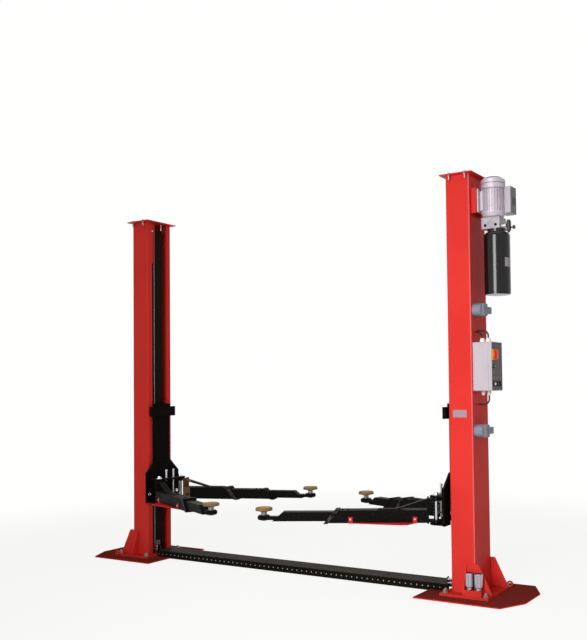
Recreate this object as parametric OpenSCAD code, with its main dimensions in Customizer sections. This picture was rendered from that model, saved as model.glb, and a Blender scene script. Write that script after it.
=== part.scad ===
// Two post lift: bay along X, vehicle along Y, floor at Z = 0, origin midway between the columns.
// Everything for the right hand post is drawn at +X; the left hand post is its mirror image.

/* [Columns] */
// height over the cap plates
overall_height = 2824; // [2600:1:3200]
// clear width between the inner faces of the columns
inner_gap = 2776; // [2500:1:3100]
// column size across the bay
column_width = 174; // [150:1:220]
// column size along the vehicle
column_depth = 270; // [220:1:340]
// sheet thickness of the column channel
column_sheet = 6; // [5:0.5:8]
// outer radius of the channel bends
bend_radius = 12; // [8:1:20]
// width of the lip on each side of the slot
lip_width = 50; // [40:1:60]

/* [Caps] */
// cap plate thickness
cap_thickness = 8; // [6:1:12]
// cap plate overhang past the column
cap_overhang = 31; // [20:1:50]
// distance of the cap bolts from the column's inner face
cap_bolt_inner = 36; // [25:1:60]
// distance of the cap bolts from the column's outer face
cap_bolt_outer = 22; // [15:1:40]
// shank diameter of the cap bolts
cap_bolt_d = 12; // [8:1:14]
// length of the cap bolts below the plate
cap_bolt_drop = 34; // [20:1:50]

/* [Base] */
// floor plate thickness
floor_plate_t = 8; // [6:1:12]
// half length of the floor plate along the vehicle
floor_plate_half = 329; // [280:1:400]
// floor plate reach inward of the column face
floor_plate_in = 192; // [100:1:260]
// floor plate reach outward of the column
floor_plate_out = 346; // [200:1:420]
// corner chamfer of the floor plate across the bay
floor_chamfer_x = 100; // [30:1:140]
// corner chamfer of the floor plate along the vehicle
floor_chamfer_y = 190; // [50:1:240]
// base plate thickness
base_plate_t = 16; // [12:1:25]
// half length of the base plate along the vehicle
base_plate_half = 212; // [205:1:260]
// base plate reach inward of the column face
base_plate_in = 54; // [45:1:90]
// base plate reach outward of the column
base_plate_out = 122; // [100:1:160]
// diameter of the anchor bolt holes
anchor_hole_d = 19; // [16:1:24]
// anchor hole distance from the base plate edges
anchor_inset = 30; // [25:1:40]
// clearance on the radius of an anchor bolt
anchor_fit = 0.1; // [0.05:0.01:0.5]
// anchor bolt length above the base plate
anchor_rise = 26; // [20:1:32]
// width across the flats of the anchor nuts
anchor_nut = 28; // [26:1:32]

/* [Gussets] */
// gusset height above the floor
gusset_top = 220; // [150:1:300]
// lap of the outer gussets over the column's face
gusset_lap = 54; // [30:1:80]
// width of the flat land on top of a gusset, past the column
gusset_land = 26; // [15:1:40]
// foot length of the outer gussets
gusset_foot = 118; // [80:1:121]
// upright edge at the toe of a gusset
gusset_toe = 12; // [6:1:20]
// gusset plate thickness
gusset_t = 10; // [8:1:12]
// foot length of the gussets on the front and back faces
side_gusset_foot = 72; // [50:1:76]
// ring diameter of the lug on the base plate's edge
lug_ring_d = 44; // [36:1:50]
// hole diameter of the lug
lug_hole_d = 22; // [16:1:28]

/* [Adapters] */
// height of the adapter holder
holder_height = 38; // [25:1:60]
// sheet thickness of the adapter holder
holder_sheet = 5; // [3:0.5:8]
// length of the adapter holder
holder_length = 124; // [116:1:126]
// width of the adapter holder
holder_width = 58; // [52:1:66]
// diameter of the height adapters
adapter_d = 57; // [50:1:60]
// diameter of an adapter's spigot
adapter_spigot_d = 44; // [30:1:48]
// height of an adapter above its shoulder
adapter_height = 86; // [60:1:140]
// height of an adapter's spigot
adapter_spigot = 54; // [40:1:70]
// depth of the socket in the top of an adapter
adapter_socket = 50; // [30:1:70]
// distance between the two adapters
adapter_pitch = 62; // [58:1:70]

/* [Curtain and rope] */
// width of the dust curtain
curtain_width = 112; // [90:1:120]
// thickness of the dust curtain
curtain_t = 3; // [2:0.5:5]
// depth of the curtain behind the column face
curtain_depth = 24; // [22:1:40]
// drop of the curtain's upper hem below the cap plates
curtain_drop = 52; // [30:1:80]
// diameter of the two hanger rods
hanger_d = 8; // [6:1:10]
// half distance between the hanger rods
hanger_half = 46; // [30:1:50]
// diameter of the wire rope
rope_d = 7; // [6:0.5:7.5]
// clearance on the radius of the rope in its grooves
rope_fit = 0.15; // [0.1:0.05:0.3]
// offset of the rope from the middle of the slot
rope_offset = 46; // [42:1:50]
// depth of the rope behind the column face
rope_depth = 16.5; // [15:0.5:18]
// groove radius of the rope sheaves
sheave_r = 29; // [26:1:30]
// height of the sheave flanges over the groove
sheave_rim = 5; // [4:1:8]
// sheave width
sheave_w = 9; // [8:0.5:9.5]
// axle diameter of the sheaves
sheave_axle_d = 12; // [8:1:12]
// height of the upper sheaves' axles below the cap plates
sheave_drop = 75; // [60:1:120]
// length of the sheave plate below the cap plates
sheave_plate_drop = 348; // [250:1:400]
// thickness of the sheave plate
sheave_plate_t = 5; // [4:0.5:5]
// height of the rope above the base plate where it leaves the floor sheaves
rope_rise = 10; // [8:1:14]
// thickness of the floor sheaves' cheeks
cheek_t = 6; // [4:1:8]
// height of the floor sheaves' cheeks
cheek_height = 108; // [100:1:110]

/* [Floor cover] */
// cover width along the vehicle
cover_width = 168; // [150:1:176]
// cover height
cover_height = 55; // [50:1:56]
// cover sheet thickness
cover_sheet = 3; // [2:0.5:5]
// gap between the cover's end and the column face
cover_gap = 42; // [30:1:80]
// spacing of the rivets along the sides
rivet_pitch = 44; // [30:1:60]
// rivet head diameter
rivet_d = 9; // [6:1:14]
// height of the rivet row above the floor
rivet_z = 29; // [20:1:40]
// distance of the hose fittings from the middle of the slot
fitting_offset = 76; // [74:1:77]
// clearance around the cover's ends
cover_fit = 0.3; // [0.2:0.1:2]
// heights of the hose fittings above the floor
fitting_z = [66, 90];
// diameter of the hose fittings
fitting_d = 14; // [10:1:14]

/* [Carriage] */
// height of the carriage bottom above the floor as shown
carriage_bottom = 458; // [450:1:520]
// height of the carriage's frame, up to the door guard's upper edge
carriage_height = 794; // [700:1:850]
// height of the stop block over the door guard
stop_height = 24; // [10:1:40]
// half width of the stop block
stop_half = 85; // [60:1:90]
// distance of the guide webs from the middle of the slot
web_offset = 64; // [60:1:66]
// thickness of the guide webs
web_t = 12; // [8:1:14]
// half width of the spine plate in front of the slot
spine_half = 92; // [88:1:110]
// spine plate thickness
spine_t = 12; // [8:1:16]
// gap between the column and the spine plate
spine_gap = 8; // [5:1:12]
// half width of the wing plate
wing_half = 186; // [170:1:200]
// wing plate thickness
wing_t = 14; // [10:1:18]
// half width of the wing plate's upper land
wing_land = 82; // [60:1:120]
// height of the wing plate's shoulders above the carriage bottom
wing_shoulder = 246; // [220:1:280]
// half width of the notch over the floor sheaves
notch_half = 90; // [88:1:92]
// height of the notch over the floor sheaves
notch_height = 95; // [80:1:110]
// clearance of the slide blocks in the column
slide_gap = 0.3; // [0.2:0.1:1]
// slide block length
slide_length = 120; // [80:1:160]
// half width of the rubber door guard
guard_half = 138; // [110:1:150]
// height of the rubber door guard
guard_height = 80; // [60:1:100]
// thickness of the rubber door guard
guard_t = 30; // [20:1:40]

/* [Arm pivots] */
// distance of the arm pivots from the column face
pivot_reach = 110; // [104:1:130]
// half distance between the two arm pivots
pivot_half = 122; // [118:1:130]
// pivot pin diameter
pin_d = 36; // [30:1:40]
// clearance on the radius of the pivot pins
pin_fit = 0.1; // [0.05:0.01:0.2]
// pin head diameter
pin_head_d = 52; // [44:1:60]
// thickness of the carriage ears
ear_t = 14; // [10:1:16]
// radius of the carriage ears
ear_r = 43; // [40:1:44]
// clear height between the carriage ears
ear_space = 168; // [160:1:176]
// clearance between the carriage ears and the arm ears
ear_gap = 6; // [5:0.5:8]
// radius of the arm ears
arm_ear_r = 41; // [34:1:42]
// lock rod diameter
lock_rod_d = 16; // [12:1:20]
// distance of a lock rod from the middle of the carriage
lock_offset = 41; // [36:1:46]
// height of a lock rod above the upper ear
lock_top = 63; // [40:1:80]
// height of the lock handle above the lower ear
lock_handle_z = 73; // [60:1:100]
// reach of the lock handle
lock_handle = 32; // [20:1:34]

/* [Arms] */
// swing of the near arms as shown, from the bay axis
near_swing = 26.5; // [12:0.5:90]
// swing of the far arms as shown, from the bay axis
far_swing = 18; // [12:0.5:90]
// distance of the end plate from the pivot
end_plate_at = 50; // [48:1:60]
// end plate thickness
end_plate_t = 12; // [8:1:16]
// rise of the end plate past the arm ears
end_plate_rise = 8; // [4:1:12]
// height of the near arm's base tube over the carriage bottom
near_rise = 18; // [14:1:24]
// width of the near arm's base tube
near_base_w = 100; // [90:1:120]
// height of the near arm's base tube
near_base_h = 86; // [80:1:100]
// length of the near arm's base tube top from the pivot
near_base_end = 690; // [640:1:700]
// width of the near arm's tip tube
near_tip_w = 82; // [60:1:84]
// height of the near arm's tip tube
near_tip_h = 62; // [50:1:66]
// length of the near arm's tip tube
near_tip_length = 550; // [500:1:560]
// height of the far arm's base tube over the carriage bottom
far_rise = 14; // [12:1:20]
// width of the far arm's base tube
far_base_w = 100; // [90:1:120]
// height of the far arm's base tube
far_base_h = 96; // [90:1:106]
// length of the far arm's base tube top from the pivot
far_base_end = 465; // [440:1:500]
// width of the far arm's middle tube
far_mid_w = 84; // [70:1:86]
// height of the far arm's middle tube
far_mid_h = 78; // [70:1:80]
// length of the far arm's middle tube
far_mid_length = 450; // [400:1:460]
// width of the far arm's tip tube
far_tip_w = 66; // [50:1:68]
// height of the far arm's tip tube
far_tip_h = 58; // [50:1:62]
// length of the far arm's tip tube
far_tip_length = 360; // [320:1:380]
// wall of the arm tubes
tube_wall = 5; // [4:0.5:6]
// clearance under a sliding tube
tube_gap = 0.3; // [0.2:0.1:1]
// slant of a tube end, bottom longer than top
tube_slant = 72; // [50:1:80]
// width of the collar around a tube end
collar_width = 30; // [20:1:40]
// thickness of the collar
collar_t = 5; // [4:1:6]
// reach of the sloped stay along the tube
stay_reach = 215; // [160:1:260]
// width of the sloped stay
stay_width = 46; // [30:1:60]
// thickness of the sloped stay
stay_t = 16; // [8:1:18]
// length of the doubler plate under the stay's end
doubler_length = 120; // [60:1:160]
// thickness of the doubler plate
doubler_t = 6; // [4:1:8]
// diameter of the stop screws on the tubes
stop_screw_d = 12; // [8:1:16]
// distance of the toe guard's inner tab from the pivot
guard_start = 145; // [120:1:180]
// distance between the toe guard's tabs on the near arms
near_guard_span = 435; // [380:1:450]
// distance between the toe guard's tabs on the far arms
far_guard_span = 230; // [200:1:260]
// bow of the toe guard past the tube's side
guard_bow = 78; // [30:1:90]
// thickness of the toe guard
toe_t = 6; // [4:1:8]
// width of the toe guard's tabs
tab_width = 29; // [20:1:40]
// height of the toe guard's tabs
tab_height = 44; // [30:1:60]
// reach of the left far arm's middle tube
left_mid_end = 780; // [700:1:790]
// reach of the right far arm's middle tube
right_mid_end = 600; // [560:1:640]
// pad centre distance from the pivot of the left near arm
left_near_reach = 1120; // [1000:1:1180]
// pad centre distance from the pivot of the right near arm
right_near_reach = 1180; // [1100:1:1190]
// pad centre distance from the pivot of the left far arm
left_far_reach = 1160; // [1100:1:1170]
// pad centre distance from the pivot of the right far arm
right_far_reach = 915; // [860:1:940]

/* [Pads] */
// pad disc diameter
pad_d = 120; // [100:1:130]
// thickness of the moulded pad
pad_t = 22; // [15:1:30]
// radial ribs on the pad
pad_ribs = 8; // [4:1:12]
// depth of the grooves in the pad
pad_groove = 3; // [1:0.5:5]
// gap between the screw boss and the pad's cup
pad_gap = 22; // [14:1:24]
// height of the pad's steel cup
cup_height = 9; // [6:1:14]
// screw diameter
screw_d = 42; // [30:1:50]
// clearance on the radius of the screw
screw_fit = 0.1; // [0.05:0.01:0.2]
// length of the screw under the boss
screw_drop = 8; // [4:1:10]
// height of the screw boss over the carriage bottom
boss_rise = 37; // [34:1:40]
// screw boss diameter
boss_d = 88; // [70:1:96]
// screw boss height
boss_height = 31; // [25:1:40]
// distance from the pad centre back to the tip tube
tongue_reach = 62; // [55:1:70]
// width of the tongue
tongue_w = 56; // [40:1:60]
// thickness of the tongue
tongue_t = 22; // [16:1:26]

/* [Power unit] */
// depth of the bracket on the column
bracket_depth = 36; // [25:1:50]
// width of the bracket
bracket_width = 198; // [150:1:220]
// height of the bracket
bracket_height = 170; // [120:1:200]
// thickness of the motor's foot plate
foot_t = 9; // [6:1:12]
// motor diameter over the fins
motor_d = 164; // [140:1:176]
// motor diameter between the fins
motor_core_d = 144; // [120:1:150]
// number of cooling fins
fin_count = 28; // [16:1:40]
// thickness of a cooling fin
fin_t = 4; // [3:0.5:5]
// distance of the motor axis from the column
motor_reach = 119; // [118:1:150]
// drop of the motor's top below the top of the cap plate
motor_drop = 32; // [20:1:60]
// height of the finned housing
fins_height = 156; // [120:1:180]
// height of the motor's lower end bell
bell_height = 40; // [16:1:50]
// height of the fan cowl
cowl_height = 70; // [50:1:90]
// height of the cap on the fan cowl
cowl_cap = 8; // [5:1:12]
// terminal box size across the bay
terminal_depth = 52; // [35:1:60]
// terminal box size along the vehicle
terminal_width = 108; // [70:1:120]
// terminal box height
terminal_height = 178; // [150:1:200]
// valve block size across the bay
block_depth = 128; // [110:1:140]
// valve block size along the vehicle
block_width = 120; // [100:1:130]
// valve block height
block_height = 76; // [55:1:90]
// diameter of the ports in the valve block
port_d = 20; // [14:1:26]
// depth of the ports
port_depth = 23; // [10:1:40]
// half distance between the ports
port_half = 37; // [30:1:44]
// distance of the release valve from the valve block
valve_reach = 52; // [46:1:60]
// diameter of the release valve
valve_d = 32; // [24:1:40]
// diameter of the release knob's stem
stem_d = 10; // [8:1:14]
// tank diameter
tank_d = 176; // [150:1:184]
// radius of the tank's shoulder
tank_shoulder = 30; // [15:1:40]
// tank height up to the neck
tank_height = 422; // [300:1:480]
// offset of the tank from the motor's axis, away from the column
tank_offset = 21; // [0:1:30]
// height of the tank's neck
neck_height = 20; // [15:1:40]
// diameter of the tank's neck
neck_d = 128; // [100:1:140]

/* [Covers and control box] */
// latch cover depth out from the column
cover_depth = 77; // [60:1:90]
// latch cover length along the vehicle
latch_length = 105; // [90:1:120]
// latch cover height
latch_height = 84; // [60:1:100]
// corner radius of the latch covers
latch_radius = 34; // [10:1:40]
// length of the latch cover's stub
stub_length = 58; // [40:1:70]
// height of the latch cover's stub
stub_height = 45; // [30:1:60]
// centre heights of the latch covers above the floor
latch_z = [1092, 1900];
// control box depth out from the column
control_depth = 134; // [110:1:160]
// control box width along the vehicle
control_width = 183; // [178:1:220]
// control box height
control_height = 325; // [305:1:380]
// lower edge of the control box above the floor
control_z = 1358; // [1250:1:1450]
// distance of the control box's near side from the middle of the column
control_near = 115; // [100:1:125]
// corner radius of the control box
control_radius = 8; // [4:1:14]
// depth of the control box's lid
lid_depth = 26; // [18:1:40]
// width and depth of the lid's seam
lid_seam = 2; // [1:0.5:3]
// depth of the front panel's recess
panel_recess = 2; // [1:0.5:4]
// distance of the switch column from the box's near side
switch_inset = 43; // [39:1:50]
// distance between the push buttons
button_pitch = 51; // [44:1:52]
// height of the buttons above the box's lower edge
button_z = 46; // [30:1:60]
// height of the lamp above the box's lower edge
lamp_z = 163; // [120:1:180]
// diameter of the lamp
lamp_d = 26; // [18:1:32]
// height of the main switch above the box's lower edge
switch_z = 240; // [225:1:260]
// side of the switch's square plate
switch_plate = 72; // [56:1:76]
// thickness of the switch's plate
switch_plate_t = 10; // [2:0.5:12]
// knob diameter of the main switch
switch_d = 58; // [36:1:62]
// height of the switch knob
switch_height = 18; // [14:1:44]
// diameter of the push buttons
button_d = 22; // [16:1:26]
// height of the push buttons
button_height = 12; // [8:1:16]
// stroke of the push buttons
button_stroke = 4; // [2:0.5:5]
// clearance around moving knobs and buttons
knob_gap = 0.3; // [0.2:0.05:0.5]
// diameter of the cable glands
gland_d = 36; // [24:1:38]
// height of the cable glands
gland_height = 30; // [20:1:40]
// diameter of the cables
cable_d = 12; // [8:1:14]
// bend radius of the cables
cable_bend = 36; // [30:1:50]

/* [Hidden] */
$fn = 64;
face = inner_gap / 2;
outer = face + column_width;
slot_half = column_depth / 2 - lip_width;
base_top = floor_plate_t + base_plate_t;
cap_z = overall_height - cap_thickness;
wall_in = column_depth / 2 - column_sheet;
plate_near = face - base_plate_in;
plate_out = outer + base_plate_out;

curtain_x = face + curtain_depth;
curtain_top = cap_z - curtain_drop;
rope_x = face + rope_depth;
rope_bend = sheave_r + rope_d / 2;
floor_sheave_z = base_top + rope_rise + rope_bend;
top_sheave_z = cap_z - sheave_drop;
cover_half = face - cover_gap;

carriage_top = carriage_bottom + carriage_height;
web_top = carriage_top - guard_height;
web_back = outer - 3 * column_sheet;
spine_x = face - spine_gap - spine_t;
wing_x = spine_x - wing_t;
frame_low = carriage_bottom + notch_height;
pivot_x = face - pivot_reach;
lower_ear = carriage_bottom;
upper_ear = lower_ear + ear_t + ear_space;
arm_ear_low = lower_ear + ear_t + ear_gap;
arm_ear_top = upper_ear - ear_gap;

near_z = carriage_bottom + near_rise;
far_z = carriage_bottom + far_rise;
near_tip_z = near_z + (near_base_h - near_tip_h) / 2;
far_mid_z = far_z + tube_wall + tube_gap;
far_tip_z = far_mid_z + (far_mid_h - far_tip_h) / 2;
near_base = [near_base_w, near_base_h];
near_tip = [near_tip_w, near_tip_h];
far_base = [far_base_w, far_base_h];
far_mid = [far_mid_w, far_mid_h];
far_tip = [far_tip_w, far_tip_h];
boss_z = carriage_bottom + boss_rise;

motor_x = outer + motor_reach;
motor_top = overall_height - motor_drop;
cowl_top = motor_top - cowl_cap;
fins_top = cowl_top - cowl_height;
fins_low = fins_top - fins_height;
bell_low = fins_low - bell_height;
block_low = bell_low - block_height;
port_z = block_low + block_height * 0.3;
valve_z = port_z - 8;
valve_y = -block_width / 5;
tank_top = block_low - neck_height;

box_x = outer + control_depth;
lid_x = box_x - lid_depth;
panel_x = box_x - panel_recess;
switch_y = switch_inset - control_near;
// places of the glands across the box, from the column outwards
gland_x = [outer + control_depth * 0.24, outer + control_depth * 0.56];
gland_y = control_width / 2 - control_near;

// box between two corners
module block(a, b) {
    translate(a)
        cube(b - a);
}

// flat outline with round corners, centred
module round_rect(w, d, r) {
    square([w - 2 * r, d], center = true);
    square([w, d - 2 * r], center = true);
    for (i = [-1, 1], j = [-1, 1])
        translate([i * (w / 2 - r), j * (d / 2 - r)])
            circle(r);
}

// the same thing at both posts
module both_posts() {
    children();
    mirror([1, 0, 0])
        children();
}

// the same thing on the near and the far side
module both_ends() {
    children();
    mirror([0, 1, 0])
        children();
}

// hexagon head or nut, standing up from z = 0
module hexagon(across, height) {
    cylinder(d = across / cos(30), h = height, $fn = 6);
}

// a part drawn upright along Z, turned to stand out along +X
module outward() {
    rotate([0, 90, 0])
        children();
}

module floor_plates() {
    a = face - floor_plate_in;
    b = outer + floor_plate_out;
    c = floor_plate_half - floor_chamfer_y;
    color("maroon")
        both_posts()
            linear_extrude(floor_plate_t)
                difference() {
                    polygon([[a, -floor_plate_half], [b - floor_chamfer_x, -floor_plate_half], [b, -c],
                             [b, c], [b - floor_chamfer_x, floor_plate_half], [a, floor_plate_half]]);
                    cover_notch(a);
                    anchor_places()
                        circle(d = anchor_hole_d);
                }
}

// notch for the floor cover's end, from x = a
module cover_notch(a) {
    translate([a - 1, -cover_width / 2 - cover_fit])
        square([cover_half - a + 1 + cover_fit, cover_width + 2 * cover_fit]);
}

module anchor_places() {
    for (x = [plate_near + anchor_inset, plate_out - anchor_inset], y = [-1, 1])
        translate([x, y * (base_plate_half - anchor_inset)])
            children();
}

module base_plates() {
    color("red")
        both_posts()
            translate([0, 0, floor_plate_t])
                linear_extrude(base_plate_t)
                    difference() {
                        translate([plate_near, -base_plate_half])
                            square([plate_out - plate_near, 2 * base_plate_half]);
                        anchor_places()
                            circle(d = anchor_hole_d);
                        cover_notch(plate_near);
                    }
}

// folded channel with its slot towards the bay
module column() {
    translate([face + column_width / 2, 0, base_top])
        linear_extrude(cap_z - base_top)
            difference() {
                round_rect(column_width, column_depth, bend_radius);
                round_rect(column_width - 2 * column_sheet, column_depth - 2 * column_sheet,
                           bend_radius - column_sheet);
                translate([-column_width / 2 - 1, -slot_half])
                    square([column_sheet + 2, 2 * slot_half]);
            }
}

module left_column() {
    color("red")
        mirror([1, 0, 0])
            column();
}

module right_column() {
    color("red")
        column();
}

// plate standing on the base plate in the XZ plane, welded across the column's face
module outer_gusset() {
    h = gusset_top - base_top;
    translate([outer, column_depth / 2 + gusset_t, base_top])
        rotate([90, 0, 0])
            linear_extrude(gusset_t)
                polygon([[-gusset_lap, 0], [gusset_foot, 0], [gusset_foot, gusset_toe], [gusset_land, h],
                         [-gusset_lap, h]]);
}

// plate standing out from the column's face beside the outer gusset
module side_gusset() {
    h = gusset_top - base_top;
    translate([outer - gusset_lap - gusset_t, column_depth / 2, base_top])
        rotate([90, 0, 90])
            linear_extrude(gusset_t)
                polygon([[0, 0], [side_gusset_foot, 0], [side_gusset_foot, gusset_toe],
                         [gusset_t, h], [0, h]]);
}

// ring lug on the front edge of the base plate
module ring_lug() {
    translate([plate_out - anchor_inset + lug_hole_d / 2, base_plate_half + gusset_t,
               floor_plate_t + lug_ring_d / 2 + 0.5])
        rotate([90, 0, 0])
            linear_extrude(gusset_t)
                difference() {
                    circle(d = lug_ring_d);
                    circle(d = lug_hole_d);
                }
}

// open box for the adapters, standing in front of the gusset
module adapter_holder() {
    x = outer - gusset_lap;
    y = -column_depth / 2 - gusset_t;
    difference() {
        block([x, y - holder_width, base_top], [x + holder_length, y, base_top + holder_height]);
        block([x + holder_sheet, y - holder_width + holder_sheet, base_top + holder_sheet],
              [x + holder_length - holder_sheet, y - holder_sheet, base_top + holder_height + 1]);
    }
}

module base_gussets() {
    color("red") {
        both_posts()
            both_ends() {
                outer_gusset();
                side_gusset();
            }
        mirror([1, 0, 0])
            mirror([0, 1, 0])
                ring_lug();
        ring_lug();
        adapter_holder();
    }
}

module height_adapters() {
    mid = outer - gusset_lap + holder_length / 2;
    spigot = adapter_spigot_d / 2;
    body = adapter_d / 2;
    top = adapter_spigot + adapter_height;
    color("silver")
        for (i = [-1, 1])
            translate([mid + i * adapter_pitch / 2, -column_depth / 2 - gusset_t - holder_width / 2,
                       base_top + holder_sheet])
                rotate_extrude()
                    difference() {
                        polygon([[0, 0], [spigot - 2, 0], [spigot, 2], [spigot, adapter_spigot - 5],
                                 [body, adapter_spigot], [body, top - 4], [body - 4, top], [0, top]]);
                        translate([-1, top - adapter_socket])
                            square([spigot + 1, adapter_socket + 1]);
                    }
}

module cap_bolt_places() {
    for (x = [face + cap_bolt_inner, outer - cap_bolt_outer], y = [-1, 1])
        translate([x, y * (column_depth + cap_overhang) / 2, 0])
            children();
}

module hanger_places() {
    for (y = [-1, 1])
        translate([curtain_x + curtain_t / 2, y * hanger_half, 0])
            children();
}

module cap_plates() {
    color("red")
        both_posts()
            translate([0, 0, cap_z])
                linear_extrude(cap_thickness)
                    difference() {
                        translate([face + column_width / 2, 0])
                            square([column_width + 2 * cap_overhang, column_depth + 2 * cap_overhang],
                                   center = true);
                        cap_bolt_places()
                            circle(d = cap_bolt_d + 2 * anchor_fit);
                        hanger_places()
                            circle(d = hanger_d + 2 * anchor_fit);
                    }
}

module dust_curtains() {
    color("black")
        both_posts()
            block([curtain_x, -curtain_width / 2, base_top],
                  [curtain_x + curtain_t, curtain_width / 2, curtain_top]);
}

module anchor_bolt() {
    head = anchor_nut / 2;
    translate([0, 0, floor_plate_t])
        cylinder(d = anchor_hole_d - 2 * anchor_fit, h = base_plate_t + anchor_rise);
    translate([0, 0, base_top]) {
        cylinder(d = anchor_nut + 8, h = 3);
        hexagon(anchor_nut, 3 + head);
    }
}

// bolt with its head on the cap plate and its nut below
module cap_bolt() {
    translate([0, 0, overall_height])
        hexagon(1.5 * cap_bolt_d, 0.62 * cap_bolt_d);
    translate([0, 0, cap_z - cap_bolt_drop])
        cylinder(d = cap_bolt_d, h = overall_height - cap_z + cap_bolt_drop);
    translate([0, 0, cap_z - 0.8 * cap_bolt_d])
        hexagon(1.5 * cap_bolt_d, 0.8 * cap_bolt_d);
}

// rod from a nut on the cap plate down to the curtain's hem, with a clamp on the hem
module hanger_rod() {
    translate([0, 0, curtain_top])
        cylinder(d = hanger_d, h = overall_height - curtain_top + hanger_d);
    translate([0, 0, overall_height])
        hexagon(1.6 * hanger_d, 0.8 * hanger_d);
    translate([0, 0, curtain_top])
        cylinder(d = 1.5 * hanger_d, h = 4);
}

module fixing_bolts() {
    color("gray")
        both_posts() {
            anchor_places()
                anchor_bolt();
            cap_bolt_places()
                cap_bolt();
            hanger_places()
                hanger_rod();
        }
}

// grooved sheave with its axle along Z
module sheave() {
    groove = rope_d / 2 + rope_fit;
    rotate_extrude()
        difference() {
            translate([0, -sheave_w / 2])
                square([sheave_r + sheave_rim, sheave_w]);
            translate([rope_bend, 0])
                circle(groove);
            translate([rope_bend, -groove])
                square([sheave_rim, 2 * groove]);
        }
}

// floor sheave on its axle between two cheeks
module floor_sheave() {
    translate([rope_x - rope_bend, -rope_offset, 0]) {
        translate([0, 0, floor_sheave_z])
            rotate([90, 0, 0]) {
                sheave();
                cylinder(d = sheave_axle_d, h = sheave_w + 4 * cheek_t, center = true);
                for (i = [-1, 1])
                    translate([0, 0, i * (sheave_w / 2 + 2 * cheek_t)])
                        cylinder(d = sheave_axle_d + 8, h = cheek_t, center = true);
            }
        translate([0, 0, base_top + cheek_height - sheave_axle_d])
            rotate([90, 0, 0])
                cylinder(d = sheave_axle_d / 2, h = sheave_w + 3 * cheek_t, center = true);
        both_ends()
            translate([-sheave_axle_d, sheave_w / 2 + cheek_t / 2, base_top])
                cube([2 * sheave_axle_d, cheek_t, cheek_height]);
    }
}

// plate behind the column's lip with the upper sheave's axle
module top_sheave() {
    plate_x = rope_x - sheave_w / 2 - sheave_plate_t - slide_gap;
    block([plate_x, bend_radius - column_depth / 2, cap_z - sheave_plate_drop],
          [plate_x + sheave_plate_t, -rope_offset, cap_z]);
    translate([rope_x, -rope_offset - rope_bend, top_sheave_z])
        outward() {
            sheave();
            translate([0, 0, plate_x - rope_x - sheave_axle_d / 2])
                cylinder(d = sheave_axle_d, h = rope_x - plate_x + sheave_axle_d / 2);
        }
}

module rope_sheaves() {
    color("gray")
        both_posts() {
            floor_sheave();
            top_sheave();
        }
}

// bend of rope of the given angle about the Z axis
module rope_arc(angle) {
    rotate_extrude(angle = angle)
        translate([rope_bend, 0])
            circle(d = rope_d, $fn = 24);
}

module rope_run(length) {
    cylinder(d = rope_d, h = length, $fn = 24);
}

// rope over one upper sheave, down, under both floor sheaves and up over the other upper sheave
module sync_rope() {
    end_z = cap_z - sheave_plate_drop;
    color("silver") {
        both_posts() {
            translate([rope_x, -rope_offset - rope_bend, top_sheave_z])
                rotate([90, 0, 90])
                    rope_arc(180);
            translate([rope_x, -rope_offset - 2 * rope_bend, end_z])
                rope_run(top_sheave_z - end_z);
            translate([rope_x, -rope_offset, floor_sheave_z])
                rope_run(top_sheave_z - floor_sheave_z);
            translate([rope_x - rope_bend, -rope_offset, floor_sheave_z])
                rotate([90, 0, 0])
                    rotate([0, 0, -90])
                        rope_arc(90);
        }
        translate([0, -rope_offset, floor_sheave_z - rope_bend])
            rotate([0, 90, 0])
                translate([0, 0, -rope_x + rope_bend])
                    rope_run(2 * (rope_x - rope_bend));
    }
}

// inverted channel on the floor with a row of rivets on each side
module floor_cover() {
    half = cover_width / 2;
    count = floor(2 * (cover_half - rivet_pitch / 2) / rivet_pitch);
    slot = rope_x - rope_bend - sheave_r - sheave_rim - cover_sheet;
    color("dimgray") {
        difference() {
            rotate([90, 0, 90])
                linear_extrude(2 * cover_half, center = true)
                    difference() {
                        translate([-half, 0])
                            square([cover_width, cover_height]);
                        translate([-half + cover_sheet, -1])
                            square([cover_width - 2 * cover_sheet, cover_height - cover_sheet + 1]);
                    }
            // slots over the floor sheaves
            both_posts()
                block([slot, -rope_offset - sheave_w, cover_height - 2 * cover_sheet],
                      [cover_half + 1, -rope_offset + sheave_w, cover_height + 1]);
        }
        both_ends()
            for (i = [0:count])
                translate([(i - count / 2) * rivet_pitch, half, rivet_z])
                    rotate([-90, 0, 0])
                        cylinder(d = rivet_d, h = 2, $fn = 12);
        // upright plates that hold the hose fittings
        both_posts()
            block([cover_half - 16, -half, cover_height - cover_sheet],
                  [cover_half - 10, -fitting_offset + fitting_d + 4, fitting_z[1] + fitting_d]);
    }
}

module hose_fittings() {
    color("silver")
        both_posts()
            for (z = fitting_z)
                translate([cover_half - 10, -fitting_offset, z])
                    outward() {
                        cylinder(d = fitting_d, h = cover_gap + 40);
                        hexagon(fitting_d + 3, 10);
                    }
}

module pump_bracket() {
    z = (fins_low + fins_top) / 2;
    color("red")
        translate([outer + bracket_depth / 2, 0, z])
            difference() {
                cube([bracket_depth, bracket_width, bracket_height], center = true);
                translate([-4, 0, 0])
                    cube([bracket_depth, bracket_width - 12, bracket_height + 2], center = true);
            }
}

module terminal_box() {
    x = motor_x + motor_core_d / 2;
    z = (fins_low + fins_top) / 2;
    translate([x - 20, 0, z - terminal_height / 2])
        difference() {
            translate([terminal_depth / 2 + 10, terminal_width / 2, 0])
                linear_extrude(terminal_height)
                    round_rect(terminal_depth + 20, terminal_width, 8);
            difference() {
                translate([terminal_depth / 2 + 4, -1, -1])
                    cube([lid_seam, terminal_width + 2, terminal_height + 2]);
                translate([0, lid_seam, lid_seam])
                    cube([terminal_depth, terminal_width - 2 * lid_seam, terminal_height - 2 * lid_seam]);
            }
        }
}

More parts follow.
